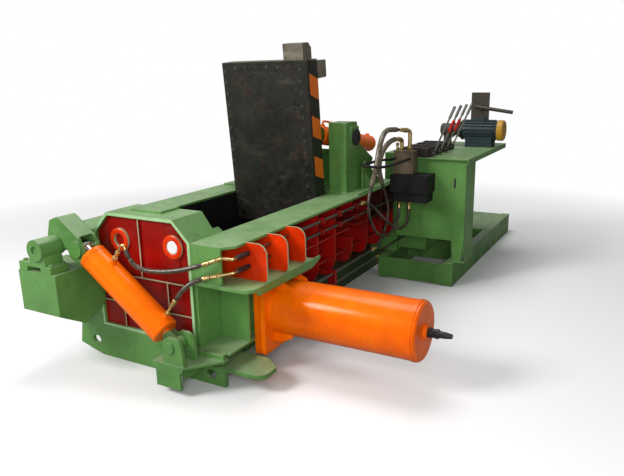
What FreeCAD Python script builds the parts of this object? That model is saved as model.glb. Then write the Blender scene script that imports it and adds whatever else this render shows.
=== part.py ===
import FreeCAD, Part
import math
import os

os.makedirs("parts", exist_ok=True)

# Driving dimensions, millimetres. +X right, +Y away along the trough, +Z up, Z = 0 is the floor.
HALF = 500.0            # half of the chamber width
WALL_T = 30.0           # chamber wall thickness
FLOOR_TOP = 280.0       # top of the chamber floor
RAIL_TOP = 1100.0       # top of the rails
RAIL_T = 20.0           # rail plate thickness
RAIL_OUT = 860.0        # outer edge of the rails
SIDE_END = 3200.0       # rear end of walls and rails
FRONT_WALL = 455.0      # inner face of the chamber's front end
BALE_END = 815.0        # rear side of the bale zone
LID_TILT = 5.2          # lean of the open lid, degrees
HINGE_Y, HINGE_Z = 2082.1, 816.1
LID_L = 1617.0          # hinge axis to free end
LID_FACE = 126.0        # hinge axis to wear face
LID_T = 200.0
LID_HALF = 490.0
LID_RANGE = 84.8
LID_K, LID_C = 0.7928, 0.4612   # lid cylinder extension (m/rad) and swing (rad/rad)
TRUNNION = (2400.0, 1660.0)     # Y, Z of the lid cylinder trunnions
LID_PIN = (2165.0, 1700.0)      # Y, Z of the lid cylinder rod pins
LID_CYL_X = 360.0
LID_CYL_R = 95.0
TOWER_X = 505.0         # inner side of the lid cylinder towers
SHAFT = (-610.0, 1030.0)        # X, Z of the turn-out shaft
SHAFT_R = 35.0
TURN_PIN = (-390.0, 1020.0)     # X, Z of the turn-out rod pin
TURN_FOOT = (490.0, 380.0)      # X, Z of the turn-out cylinder's lower pin
TURN_Y = -200.0
TURN_R = 109.0
TURN_RANGE = 90.0
TURN_K, TURN_C = 0.1881, -0.0501
SIDE_Y, SIDE_Z, SIDE_R = 620.0, 475.0, 225.0
SIDE_FLANGE, SIDE_FAR = 800.0, 2107.0
MAIN_Z, MAIN_R = 475.0, 190.0
GAP = 0.3               # gap between curved faces of different bodies
RUN = 0.05              # radial running clearance of shafts
SLOT_GAP = 2.0          # radial clearance of the rod pins in their slots
FLOOR_LOW = 260.0       # underside of the chamber floor
PANEL_Y = 26.0          # front face of the red panel inside the end block
PORT_RING_Z = 1045.0    # height of the two port rings
PORT_RING_XS = (-226.0, 324.0)
MAIN_BORE, MAIN_ROD_R = 160.0, 100.0    # bore and rod radii of the cylinders
SIDE_BORE, SIDE_ROD_R = 190.0, 90.0
LID_BORE, LID_ROD_R = 75.0, 45.0
TURN_BORE, TURN_ROD_R = 90.0, 45.0
LID_SHAFT_R = 45.0
TRUNNION_R = 40.0
LID_PIN_R, TURN_PIN_R, FOOT_PIN_R = 28.0, 25.0, 28.0
BOX_X = (-850.0, -440.0)        # turn-out support box
BOX_Y = (-470.0, -10.0)
BOX_Z = (520.0, 850.0)
SKID_X = (730.0, 1600.0)        # outer sides of the skid of the power unit
SKID_Y = (2970.0, 5750.0)
SKID_TOP = 260.0
ANCHOR_XS = (795.0, 1535.0)     # anchor holes of the skid
ANCHOR_YS = (3060.0, 5610.0)
ANCHOR_R = 11.0
TABLE_TOP = 1400.0
TANK_X, TANK_Y = (620.0, 1150.0), (3400.0, 4680.0)
TANK_T = 12.0
MOTOR_Y, MOTOR_Z = 4260.0, 1595.0
VALVE_Y = 2930.0        # middle of the valve block's ports
LEVER_YS = (3080.0, 3300.0, 3520.0, 3740.0)
LEVER_X, LEVER_Z = 1316.0, 1445.0       # pivots of the valve levers
LEVER_ARM = (210.0, 480.0)      # X and Z from the pivot to the lever's top


def vec(x, y, z):
    return FreeCAD.Vector(x, y, z)


def block(x0, x1, y0, y1, z0, z1):
    return Part.makeBox(x1 - x0, y1 - y0, z1 - z0, vec(x0, y0, z0))


def rod(p, q, r):
    a, b = vec(*p), vec(*q)
    return Part.makeCylinder(r, (b - a).Length, a, b - a)


def tube(p, q, ro, ri):
    a, b = vec(*p), vec(*q)
    d = (b - a).normalize()
    inner = Part.makeCylinder(ri, (vec(*q) - a).Length + 4.0, a - d * 2.0, d)
    return rod(p, q, ro).cut(inner)


def fuse(shapes):
    whole = shapes[0].fuse(list(shapes[1:])) if len(shapes) > 1 else shapes[0]
    return whole.removeSplitter()


def place2d(axis, u, v, w):
    if axis == "X":
        return vec(w, u, v)
    if axis == "Y":
        return vec(u, w, v)
    return vec(u, v, w)


def outline(axis, w, points):
    """Closed wire through (u, v) or (u, v, corner radius) points on a plane across the axis."""
    n = len(points)
    ends = []
    for i in range(n):
        p = points[i]
        radius = p[2] if len(p) > 2 else 0.0
        here = vec(p[0], p[1], 0)
        back = vec(points[i - 1][0], points[i - 1][1], 0) - here
        ahead = vec(points[(i + 1) % n][0], points[(i + 1) % n][1], 0) - here
        if radius <= 0:
            ends.append((here, None, here))
            continue
        back.normalize()
        ahead.normalize()
        half = back.getAngle(ahead) / 2.0
        cut = radius / math.tan(half)
        middle = back + ahead
        middle.normalize()
        centre = here + middle * (radius / math.sin(half))
        ends.append((here + back * cut, centre - middle * radius, here + ahead * cut))
    edges = []
    for i in range(n):
        start, mid, stop = ends[i]
        after = ends[(i + 1) % n][0]
        s, e = place2d(axis, start.x, start.y, w), place2d(axis, stop.x, stop.y, w)
        if mid is not None:
            edges.append(Part.Arc(s, place2d(axis, mid.x, mid.y, w), e).toShape())
        f = place2d(axis, after.x, after.y, w)
        if (f - e).Length > 1e-4:
            edges.append(Part.LineSegment(e, f).toShape())
    return Part.Wire(edges)


def plate(axis, w0, w1, points):
    face = Part.Face(outline(axis, w0, points))
    return face.extrude(place2d(axis, 0, 0, w1 - w0))


def turned(p, d, points):
    """Solid of revolution about the line through p along d, from (distance, radius) points."""
    p, d = vec(*p), vec(*d)
    d.normalize()
    side = d.cross(vec(0, 0, 1)) if abs(d.z) < 0.9 else d.cross(vec(1, 0, 0))
    side.normalize()
    corners = [p + d * s + side * r for s, r in points]
    wire = Part.makePolygon(corners + [corners[0]])
    return Part.Face(wire).revolve(p, d, 360)


def hexagon(p, d, across, height):
    """Hexagon bolt head standing on p along d."""
    p, d = vec(*p), vec(*d)
    d.normalize()
    side = d.cross(vec(0, 0, 1)) if abs(d.z) < 0.9 else d.cross(vec(1, 0, 0))
    side.normalize()
    other = d.cross(side)
    r = across / math.sqrt(3.0)
    ring = []
    for i in range(6):
        a = math.radians(60 * i + 30)
        ring.append(p + side * (r * math.cos(a)) + other * (r * math.sin(a)))
    return Part.Face(Part.makePolygon(ring + [ring[0]])).extrude(d * height)


def mirror(shape):
    return shape.mirror(vec(0, 0, 0), vec(1, 0, 0))


def bent_wire(points, bend):
    """Line segments joined by arcs; the bend radius follows the shorter neighbour."""
    pts = [vec(*p) for p in points]
    edges = []
    start = pts[0]
    for i in range(1, len(pts) - 1):
        back, ahead = pts[i - 1] - pts[i], pts[i + 1] - pts[i]
        short = min(back.Length, ahead.Length)
        back.normalize()
        ahead.normalize()
        turn = math.pi - back.getAngle(ahead)
        radius = bend if bend else 0.45 * short / math.tan(turn / 2.0)
        cut = radius * math.tan(turn / 2.0)
        half = (math.pi - turn) / 2.0
        middle = back + ahead
        middle.normalize()
        centre = pts[i] + middle * (radius / math.sin(half))
        a, b = pts[i] + back * cut, pts[i] + ahead * cut
        edges.append(Part.LineSegment(start, a).toShape())
        edges.append(Part.Arc(a, centre - middle * radius, b).toShape())
        start = b
    edges.append(Part.LineSegment(start, pts[-1]).toShape())
    return Part.Wire(edges)


def swept(points, r, bend=None):
    """Round bar along a bent wire: a cylinder for each run and a ring segment for each turn."""
    pieces = []
    for edge in bent_wire(points, bend).Edges:
        start, stop = edge.valueAt(edge.FirstParameter), edge.valueAt(edge.LastParameter)
        along = edge.tangentAt(edge.FirstParameter)
        disc = Part.Face(Part.Wire([Part.makeCircle(r, start, along)]))
        if isinstance(edge.Curve, Part.Line):
            pieces.append(disc.extrude(stop - start))
        else:
            turn = math.degrees(edge.Length / edge.Curve.Radius)
            pieces.append(disc.revolve(edge.Curve.Center, along.cross(edge.Curve.Center - start), turn))
    return fuse(pieces)


def stadium(axis, w0, w1, a, b, r):
    """Slot-shaped prism of radius r from a to b in the plane across the axis."""
    p, q = place2d(axis, a[0], a[1], w0), place2d(axis, b[0], b[1], w0)
    along = place2d(axis, 0, 0, w1 - w0)
    ends = [Part.makeCylinder(r, along.Length, p, along), Part.makeCylinder(r, along.Length, q, along)]
    d = q - p
    if d.Length < 1e-3:
        return ends[0]
    d.normalize()
    n = d.cross(along)
    n.normalize()
    ring = [p + n * r, q + n * r, q - n * r, p - n * r]
    bar = Part.Face(Part.makePolygon(ring + [ring[0]])).extrude(along)
    return ends[0].fuse([ends[1], bar])


def pin_path(pivot, pin, foot, k, c, span, steps):
    """Path of a rod pin in the frame of the part it works, for constant ratios k and c.
    Positive turn is counter-clockwise in the (u, v) plane."""
    du, dv = pin[0] - foot[0], pin[1] - foot[1]
    length, angle = math.hypot(du, dv), math.atan2(dv, du)
    path = []
    for i in range(steps + 1):
        t = math.radians(span) * i / steps
        reach, swing = length + 1000.0 * k * t, angle + c * t
        u = foot[0] + reach * math.cos(swing) - pivot[0]
        v = foot[1] + reach * math.sin(swing) - pivot[1]
        path.append((pivot[0] + u * math.cos(t) + v * math.sin(t),
                     pivot[1] - u * math.sin(t) + v * math.cos(t)))
    return path


PARTS = {}


def base_frame():
    sill = plate("Y", -10, 20, [(-530, 0), (770, 0), (770, 150), (520, 150), (520, 200), (770, 200),
                                (770, 270), (500, 270), (500, 277), (-500, 277), (-500, 800),
                                (-720, 800), (-760, 240), (-790, 70)])
    oval = plate("Y", -40, 40, [(-635, 95, 34), (-545, 95, 34), (-545, 165, 34), (-635, 165, 34)])
    oval2 = plate("Y", -40, 40, [(590, 50, 30), (680, 50, 30), (680, 118, 30), (590, 118, 30)])
    sill = sill.cut([oval, oval2])
    beam = block(430, 530, 20, 4700, 0, 260).cut(block(420, 515, 10, 4710, 20, 240))
    parts = [sill, beam, mirror(beam)]
    for y in (280, 900, 1500, 2200, 3180, 4640):
        parts.append(block(-516, 516, y, y + 60, 30, 241))
    saddle = plate("Y", 4500, 4540, [(-300, 250), (300, 250), (300, 430), (250, 475), (-250, 475),
                                     (-300, 430)])
    saddle = saddle.cut(rod((0, 4490, MAIN_Z), (0, 4550, MAIN_Z), MAIN_R))
    parts.append(saddle)
    parts.append(block(-516, 516, 4480, 4560, 30, 260))
    parts.extend([block(430, 500, 20, 410, 259, 277), block(-500, -430, 20, 410, 259, 277)])
    PARTS["base_frame"] = fuse(parts)


def chamber():
    floor = block(-HALF, HALF, 410, SIDE_END, FLOOR_LOW, FLOOR_TOP)
    PARTS["chamber_floor"] = floor.cut(block(-HALF - 1, -104, FRONT_WALL + 5, BALE_END - 5, 250, 290))
    left = block(-HALF - WALL_T, -HALF, 20, SIDE_END, FLOOR_LOW, RAIL_TOP - RAIL_T)
    shaft_hole = rod((-700, HINGE_Y, HINGE_Z), (700, HINGE_Y, HINGE_Z), 48)
    window = block(-540, -490, FRONT_WALL + 5, BALE_END - 5, 250, 945)
    slots = [block(-540, -490, y, y + 50, 900, 1100) for y in (475, 745)]
    PARTS["wall_left"] = left.cut([shaft_hole, window] + slots)
    right = block(HALF, HALF + WALL_T, 20, SIDE_END, FLOOR_LOW, RAIL_TOP - RAIL_T)
    PARTS["wall_right"] = right.cut([shaft_hole, block(490, 540, FRONT_WALL, BALE_END, 280, 676)])
    deck = block(-HALF, HALF, 2290, SIDE_END, RAIL_TOP - 25, RAIL_TOP)
    deck_rib = [block(x - 10, x + 10, 2300, SIDE_END, RAIL_TOP - 85, RAIL_TOP - 25) for x in (-225, 225)]
    roof = block(-HALF, HALF, 2160, SIDE_END, 690, 712)
    roof_rib = [block(x - 10, x + 10, 2190, SIDE_END, 712, 790) for x in (-300, 0, 300)]
    PARTS["deck_plate"] = fuse([deck] + deck_rib)
    PARTS["roof_plate"] = fuse([roof] + roof_rib)


def rails():
    top = plate("Z", RAIL_TOP - RAIL_T, RAIL_TOP, [(HALF, 0), (780, 0), (RAIL_OUT, 90),
                                                  (RAIL_OUT, SIDE_END), (HALF, SIDE_END)])
    right_front = block(HALF, 780, 0, 20, 815, RAIL_TOP - RAIL_T)
    lip = block(600, 615, 900, SIDE_END, 1030, RAIL_TOP - RAIL_T)
    PARTS["rail_right"] = fuse([top, right_front, lip])
    left_front = block(-780, -HALF, 0, 20, 800, RAIL_TOP - RAIL_T)
    left_front = left_front.cut(rod((SHAFT[0], -10, SHAFT[1]), (SHAFT[0], 30, SHAFT[1]), 46))
    PARTS["rail_left"] = fuse([mirror(top), left_front, mirror(lip)])


OCTAGON = [(-HALF, 277), (HALF, 277), (HALF, RAIL_TOP), (345, 1260), (-345, 1260), (-HALF, RAIL_TOP)]
OCTAGON_IN = [(-475, 302), (475, 302), (475, 1090), (335, 1235), (-335, 1235), (-475, 1090)]


def end_block():
    shell = plate("Y", 0, 410, OCTAGON)
    behind = plate("X", -600, 600, [(410, 1100), (410, 1300), (335, 1300)])
    behind2 = plate("X", -600, 600, [(384, 1090), (384, 1300), (303, 1300)])
    cavity = plate("Y", -1, 385, OCTAGON_IN).cut(behind2)
    shell = shell.cut(behind).cut(cavity)
    liner = block(-HALF, HALF, 410, FRONT_WALL, FLOOR_TOP, RAIL_TOP - RAIL_T)
    pocket = block(212, 475, 285, 386, 655, 1080)
    patch = plate("Z", 1260, 1278, [(-200, 130), (120, 130), (120, 345), (-200, 345)])
    body = fuse([shell, liner, pocket])
    sweep = rod((235, HINGE_Y, HINGE_Z), (463, HINGE_Y, HINGE_Z), 1785)
    sweep = sweep.common(block(200, 500, 250, 600, 680, 1400))
    body = body.cut(sweep)
    t = 6.0
    ribs = [block(-12 - t, -12 + t, 8, PANEL_Y, 755, 1235), block(-475, 475, 8, PANEL_Y, 755 - t, 755 + t),
            block(245 - t, 245 + t, 8, PANEL_Y, 505, 755), block(245, 475, 8, PANEL_Y, 505 - t, 505 + t),
            block(-240 - t, -240 + t, 8, PANEL_Y, 302, 755),
            block(-475, -240, 8, PANEL_Y, 515 - t, 515 + t)]
    PARTS["end_block"] = body
    grid = fuse(ribs)
    hole = [rod((x, 0, PORT_RING_Z), (x, PANEL_Y + 2, PORT_RING_Z), 97) for x in PORT_RING_XS]
    PARTS["front_ribs"] = grid.cut(hole)
    PARTS["top_patch"] = patch
    panel = plate("Y", PANEL_Y, PANEL_Y + 15, OCTAGON_IN)
    strip = block(270, 378, PANEL_Y - 8, PANEL_Y, 870, 1188)
    PARTS["front_panel"] = fuse([panel, strip])
    rings = []
    for x, back in zip(PORT_RING_XS, (PANEL_Y, PANEL_Y - 8)):
        ring = turned((x, 0, PORT_RING_Z), (0, 1, 0), [(5, 52), (0, 58), (0, 86), (7, 95), (back, 95),
                                                       (back, 52)])
        rings.append(ring)
    PARTS["port_rings"] = Part.makeCompound(rings)
    PARTS["ring_plug"] = turned((PORT_RING_XS[1], 4, PORT_RING_Z), (0, 1, 0), [(0, 0), (0, 44), (5, 52),
                                                                               (PANEL_Y - 12, 52),
                                                                               (PANEL_Y - 12, 0)])


def side_structure():
    verticals = []
    for y in (1340, 1680, 2050, 2420, 2790, 3120):
        verticals.append(plate("Y", y - 9, y + 9, [(530, 440), (790, 440, 60), (840, 560), (840, 1080),
                                                   (616, 1080),
                                                  (616, 1029), (599, 1029), (599, 1080), (530, 1080)]))
    bars = [block(530, 825, 985, 3129, 792, 808), block(530, 780, 985, 3129, 560, 576),
            block(530, 545, 985, 3129, 440, 1020)]
    right = fuse(verticals + bars)
    left = mirror(right)
    left = left.cut(block(-900, -500, 2000, 2170, 700, 960))
    right = right.cut(block(500, 900, 2000, 2170, 700, 960))
    PARTS["side_ribs"] = Part.makeCompound([right, left])
    shelf = plate("Z", 790, 815, [(HALF, -30), (1050, -30, 95), (1050, 900, 20), (530, 900), (530, 20),
                                  (HALF, 20)])
    strip = plate("X", 1036, 1050, [(70, 790), (70, 752, 15), (860, 745), (1000, 790), (1000, 815),
                                    (890, 815), (890, 790)])
    PARTS["pocket_shelf"] = fuse([shelf, strip])
    ribs = []
    for y in (205, 495, 765):
        rib = plate("Y", y, y + 15, [(530, 815), (1040, 815, 35), (1040, RAIL_TOP, 85),
                                     (RAIL_OUT, RAIL_TOP), (RAIL_OUT, 1080), (530, 1080)])
        holes = [rod((PIPE_X, y - 5, z), (PIPE_X, y + 20, z), PIPE_R) for z in (1020, 920)]
        ribs.append(rib.cut(holes))
    PARTS["pocket_ribs"] = Part.makeCompound(ribs)
    tab = plate("Z", 125, 160, [(530, 20), (772, 20), (772, 0), (1105, 0, 80), (1105, 190, 40), (960, 300),
                                (530, 300)])
    tab_web = plate("Y", 235, 250, [(530, 20), (560, 20), (820, 126), (530, 126)])
    PARTS["bottom_shelf"] = fuse([tab, tab_web])
    guide = block(530, SIDE_FLANGE, 425, 845, 250, 706)
    guide = guide.cut(block(520, 810, FRONT_WALL, BALE_END, 280, 676))
    plates = [block(530, 800, 285, 305, 250, 790), block(530, 800, 940, 960, 250, 790),
              block(530, 800, 300, 426, 250, 268), block(530, 800, 844, 945, 250, 268),
              block(530, 800, 20, 290, 250, 268), block(530, 800, 300, 426, 690, 706),
              block(530, 800, 844, 945, 690, 706)]
    PARTS["side_ram_housing"] = fuse([guide] + plates)


def side_cylinder():
    y, z = SIDE_Y, SIDE_Z
    h, low = 265, 145
    flange = [block(SIDE_FLANGE, SIDE_FLANGE + 46, y - h, y + h, low, z + h),
              block(SIDE_FLANGE + 46, SIDE_FLANGE + 54, y - h + 12, y + h - 12, low + 12, z + h - 12),
              block(SIDE_FLANGE + 54, SIDE_FLANGE + 100, y - h, y + h, low, z + h)]
    shell = turned((0, y, z), (1, 0, 0), [(890, 0), (890, SIDE_R), (2050, SIDE_R), (2050, SIDE_R + 5),
                                          (2078, SIDE_R + 5),
                                          (2078, SIDE_R), (SIDE_FAR - 14, SIDE_R), (SIDE_FAR, SIDE_R - 14),
                                          (SIDE_FAR, 0)])
    bore = turned((0, y, z), (1, 0, 0), [(780, 0), (780, 120), (880, 120), (880, SIDE_BORE),
                                         (2060, SIDE_BORE), (2060, 0)])
    gussets = []
    for s in (-1, 1):
        for w in (-120, 120):
            g = plate("Y", y + w - 9, y + w + 9, [(899, z + s * 150), (1080, z + s * 150),
                                                  (1060, z + s * 215),
                                                 (960, z + s * 262), (899, z + s * 262)])
            gussets.append(g)
    bosses = [rod((950, y + 190, zz), (950, 876, zz), 30) for zz in (520, 420)]
    end_boss = turned((SIDE_FAR - 5, y, z), (1, 0, 0), [(0, 0), (0, 62), (20, 58), (32, 50), (32, 0)])
    body = fuse(flange + [shell, end_boss] + gussets + bosses)
    ports = [rod((950, y + 150, zz), (950, 880, zz), 12) for zz in (520, 420)]
    end_port = rod((2050, y, z), (2200, y, z), 14)
    PARTS["side_cylinder_barrel"] = body.cut([bore, end_port] + ports)
    gland = turned((0, y, z), (1, 0, 0), [(850, SIDE_ROD_R + RUN), (850, 120), (880, 120), (880, SIDE_BORE),
                                          (930, SIDE_BORE), (930, SIDE_ROD_R + RUN)])
    PARTS["side_cylinder_gland"] = gland
    nipple = turned((2134, y, z), (1, 0, 0), [(0, 0), (0, 38), (26, 38), (26, 33), (60, 33), (60, 36),
                                              (78, 36), (78, 27), (130, 24), (175, 17), (175, 0)])
    PARTS["side_cylinder_port"] = nipple
    head = block(HALF, 790, FRONT_WALL + 4, BALE_END - 4, 284, 672)
    hollow = block(HALF + 60, 800, FRONT_WALL + 40, BALE_END - 40, 320, 636)
    PARTS["side_ram_head"] = head.cut(hollow)
    PARTS["side_ram_rod"] = turned((0, y, z), (1, 0, 0), [(560, 0), (560, 118), (590, 118),
                                                          (590, SIDE_ROD_R),
                                                          (1940, SIDE_ROD_R), (1940, SIDE_BORE - GAP),
                                                          (2010, SIDE_BORE - GAP), (2010, 0)])


def main_cylinder():
    z = MAIN_Z
    bulk = plate("Y", SIDE_END, SIDE_END + 40, [(-RAIL_OUT, 262), (RAIL_OUT, 262), (RAIL_OUT, 1040, 60),
                                                (RAIL_OUT - 60, RAIL_TOP),
                                             (-RAIL_OUT + 60, RAIL_TOP), (-RAIL_OUT, 1040, 60)])
    bulk = bulk.cut(rod((0, 3190, z), (0, 3250, z), 112))
    webs = []
    for x in (-330, 330):
        webs.append(plate("X", x - 10, x + 10, [(3240, 262), (3620, 262), (3240, 900)]))
    PARTS["rear_bulkhead"] = fuse([bulk] + webs)
    shell = turned((0, 0, z), (0, 1, 0), [(3240, MAIN_BORE), (3240, 250), (3290, 250), (3290, MAIN_R),
                                          (4690, MAIN_R),
                                          (4690, MAIN_R + 8), (4740, MAIN_R + 8), (4760, MAIN_R - 12),
                                          (4760, 0), (4700, 0), (4700, MAIN_BORE)])
    bosses = [rod((0, yy, z + 150), (0, yy, z + 228), 34) for yy in (3370, 4650)]
    drill = [rod((0, yy, z + 100), (0, yy, z + 240), 14) for yy in (3370, 4650)]
    inner = turned((0, 0, z), (0, 1, 0), [(3240, 0), (3240, MAIN_BORE), (4700, MAIN_BORE), (4700, 0)])
    PARTS["main_cylinder_barrel"] = fuse([shell] + bosses).cut([inner] + drill)
    PARTS["main_cylinder_gland"] = turned((0, 0, z), (0, 1, 0), [(3212, MAIN_ROD_R + RUN), (3212, 112),
                                                                 (3240, 112),
                                                                 (3240, MAIN_BORE), (3330, MAIN_BORE),
                                                                 (3330, MAIN_ROD_R + RUN)])
    head = block(-492, 492, 2060, 2700, 284, 670)
    hollow = block(-460, 460, 2130, 2710, 320, 640)
    ribs = [block(x - 8, x + 8, 2125, 2680, 315, 645) for x in (-230, 230)]
    blade = plate("X", -480, 480, [(2060, 610), (2060, 660), (2052, 660), (2052, 618)])
    PARTS["main_ram_head"] = fuse([head.cut(hollow)] + ribs + [blade])
    PARTS["main_ram_rod"] = turned((0, 0, z), (0, 1, 0), [(2130, 0), (2130, 150), (2170, 150),
                                                          (2170, MAIN_ROD_R),
                                                          (4600, MAIN_ROD_R), (4600, MAIN_BORE - GAP),
                                                          (4680, MAIN_BORE - GAP), (4680, 0)])


def towers():
    ty, tz = TRUNNION
    side = [(2205, RAIL_TOP), (2205, 1815, 12), (2460, 1815, 25), (2475, 1600, 20), (2870, 1390, 15),
            (2740, 1270, 10), (2990, RAIL_TOP)]
    inside = [(2223, RAIL_TOP + 18), (2223, 1797), (2440, 1797), (2455, 1590), (2800, 1400), (2710, 1285),
              (2950, 1118)]
    body = plate("X", TOWER_X, 700, side)
    body = body.cut(plate("X", TOWER_X + 16, 684, inside))
    bush = rod((TOWER_X, ty, tz), (700, ty, tz), 62)
    pad = plate("X", 700, 712, [(ty - 100, tz - 110, 25), (ty + 80, tz - 110, 25), (ty + 80, tz + 110, 25),
                                (ty - 100, tz + 110, 25)])
    foot = block(TOWER_X, 840, 2190, 3040, RAIL_TOP, RAIL_TOP + 14)
    wing = plate("X", 735, 751, [(2480, RAIL_TOP + 14), (2500, 1330), (2560, 1400), (2990, RAIL_TOP + 14)])
    gusset = plate("Y", 2560, 2576, [(699, RAIL_TOP + 14), (830, RAIL_TOP + 14), (830, 1140), (699, 1340)])
    bore = rod((460, ty, tz), (720, ty, tz), TRUNNION_R + RUN)
    body = fuse([body, bush, pad, foot, gusset, wing]).cut(bore)
    bracket = plate("X", 205, 235, [(2270, RAIL_TOP), (2560, RAIL_TOP), (2470, 1740, 50), (2330, 1740, 50)])
    bracket_foot = block(150, 300, 2240, 2600, RAIL_TOP, RAIL_TOP + 16)
    bracket = fuse([bracket, bracket_foot]).cut(rod((200, ty, tz), (240, ty, tz), TRUNNION_R + RUN))
    PARTS["lid_towers"] = Part.makeCompound([body, mirror(body)])
    PARTS["tower_wall"] = block(-TOWER_X, TOWER_X, 2601, 2617, RAIL_TOP, 1500)
    PARTS["inner_brackets"] = Part.makeCompound([bracket, mirror(bracket)])
    cap = turned((712, ty, tz), (1, 0, 0), [(0, 0), (0, 86), (14, 86), (20, 80), (20, 52), (26, 48),
                                            (26, 0)])
    hinge_cap = turned((605, HINGE_Y, HINGE_Z), (1, 0, 0), [(0, 0), (0, 70), (14, 70), (20, 62), (20, 0)])
    PARTS["bearing_caps"] = Part.makeCompound([cap, mirror(cap), hinge_cap, mirror(hinge_cap)])
    housing = tube((530, HINGE_Y, HINGE_Z), (605, HINGE_Y, HINGE_Z), 80, LID_SHAFT_R + RUN)
    foot_plate = plate("X", 530, 550, [(HINGE_Y - 75, HINGE_Z - 108), (HINGE_Y + 75, HINGE_Z - 108),
                                       (HINGE_Y + 75, HINGE_Z + 108), (HINGE_Y - 75, HINGE_Z + 108)])
    housing = fuse([housing, foot_plate]).cut(rod((520, HINGE_Y, HINGE_Z), (620, HINGE_Y, HINGE_Z),
                                                  LID_SHAFT_R + RUN))
    PARTS["lid_bearings"] = Part.makeCompound([housing, mirror(housing)])


def tilt(shape):
    """Stand the lid, built about its hinge line at the origin, in its open pose."""
    copy = shape.copy()
    copy.rotate(vec(0, 0, 0), vec(1, 0, 0), LID_TILT)
    copy.translate(vec(0, HINGE_Y, HINGE_Z))
    return copy


def to_lid(point):
    """(Y, Z) at rest to the upright lid's own (y, z)."""
    a = math.radians(-LID_TILT)
    y, z = point[0] - HINGE_Y, point[1] - HINGE_Z
    return (y * math.cos(a) - z * math.sin(a), y * math.sin(a) + z * math.cos(a))


def lid():
    face, back = -LID_FACE, LID_T - LID_FACE
    skin = face + 20
    panel = block(-LID_HALF, LID_HALF, skin, back, -50, LID_L)
    pockets = []
    for x0, x1 in ((-468, -226), (-206, 206), (226, 468)):
        for z0, z1 in ((88, 452), (472, 812), (940, 1260), (1280, LID_L - 25)):
            pockets.append(block(x0, x1, skin + 25, back + 5, z0, z1))
    heel = plate("X", -600, 600, [(skin - 5, -55), (skin + 30, -55), (skin - 5, -15)])
    panel = panel.cut(pockets + [heel])
    hub = rod((-LID_HALF, 0, 0), (LID_HALF, 0, 0), 72)
    tongue = plate("X", 240, 457, [(face, LID_L), (face, LID_L + 155), (face + 110, LID_L + 155),
                                   (face + 160, LID_L + 105), (face + 160, LID_L)])
    catch = plate("X", 330, LID_HALF, [(back - 5, 1430), (back + 176, 1430, 12), (back + 176, 1595, 12),
                                       (back - 5, 1595)])
    path = [to_lid(p) for p in pin_path((HINGE_Y, HINGE_Z), LID_PIN, TRUNNION, LID_K, LID_C, LID_RANGE, 8)]
    e = to_lid(LID_PIN)
    lugs = []
    for x in (290, 405):
        lug = plate("X", x, x + 25, [(back - 100, e[1] - 190), (back + 5, e[1] - 190),
                                     (e[0] + 62, e[1] - 78, 55), (e[0] + 72, e[1] + 60, 60),
                                     (back + 60, e[1] + 85, 30), (back - 5, e[1] + 160),
                                     (back - 100, e[1] + 160)])
        for i in range(len(path) - 1):
            lug = lug.cut(stadium("X", x - 2, x + 27, path[i], path[i + 1], LID_PIN_R + SLOT_GAP))
        lugs.append(lug)
    lugs = lugs + [mirror(g) for g in lugs]
    body = fuse([panel, hub, tongue, catch] + lugs)
    body = body.cut(rod((-500, 0, 0), (500, 0, 0), LID_SHAFT_R))
    PARTS["lid_frame"] = tilt(body)
    PARTS["lid_shaft"] = tilt(rod((-604, 0, 0), (604, 0, 0), LID_SHAFT_R))
    main = block(-488, 331, face, skin, -10, LID_L - 2)
    strip = block(335, 488, face, skin, -10, LID_L - 2)
    PARTS["lid_wear_plates"] = tilt(Part.makeCompound([main, strip]))
    bolts = []
    for x in (-455, 412):
        for k in range(14):
            bolts.append(hexagon((x, face, 60 + 113.5 * k), (0, -1, 0), 34, 5))
    for x in (-330, -205, -80, 45, 170, 290):
        bolts.append(hexagon((x, face, LID_L - 55), (0, -1, 0), 34, 5))
    PARTS["lid_bolts"] = tilt(Part.makeCompound(bolts))


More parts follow.
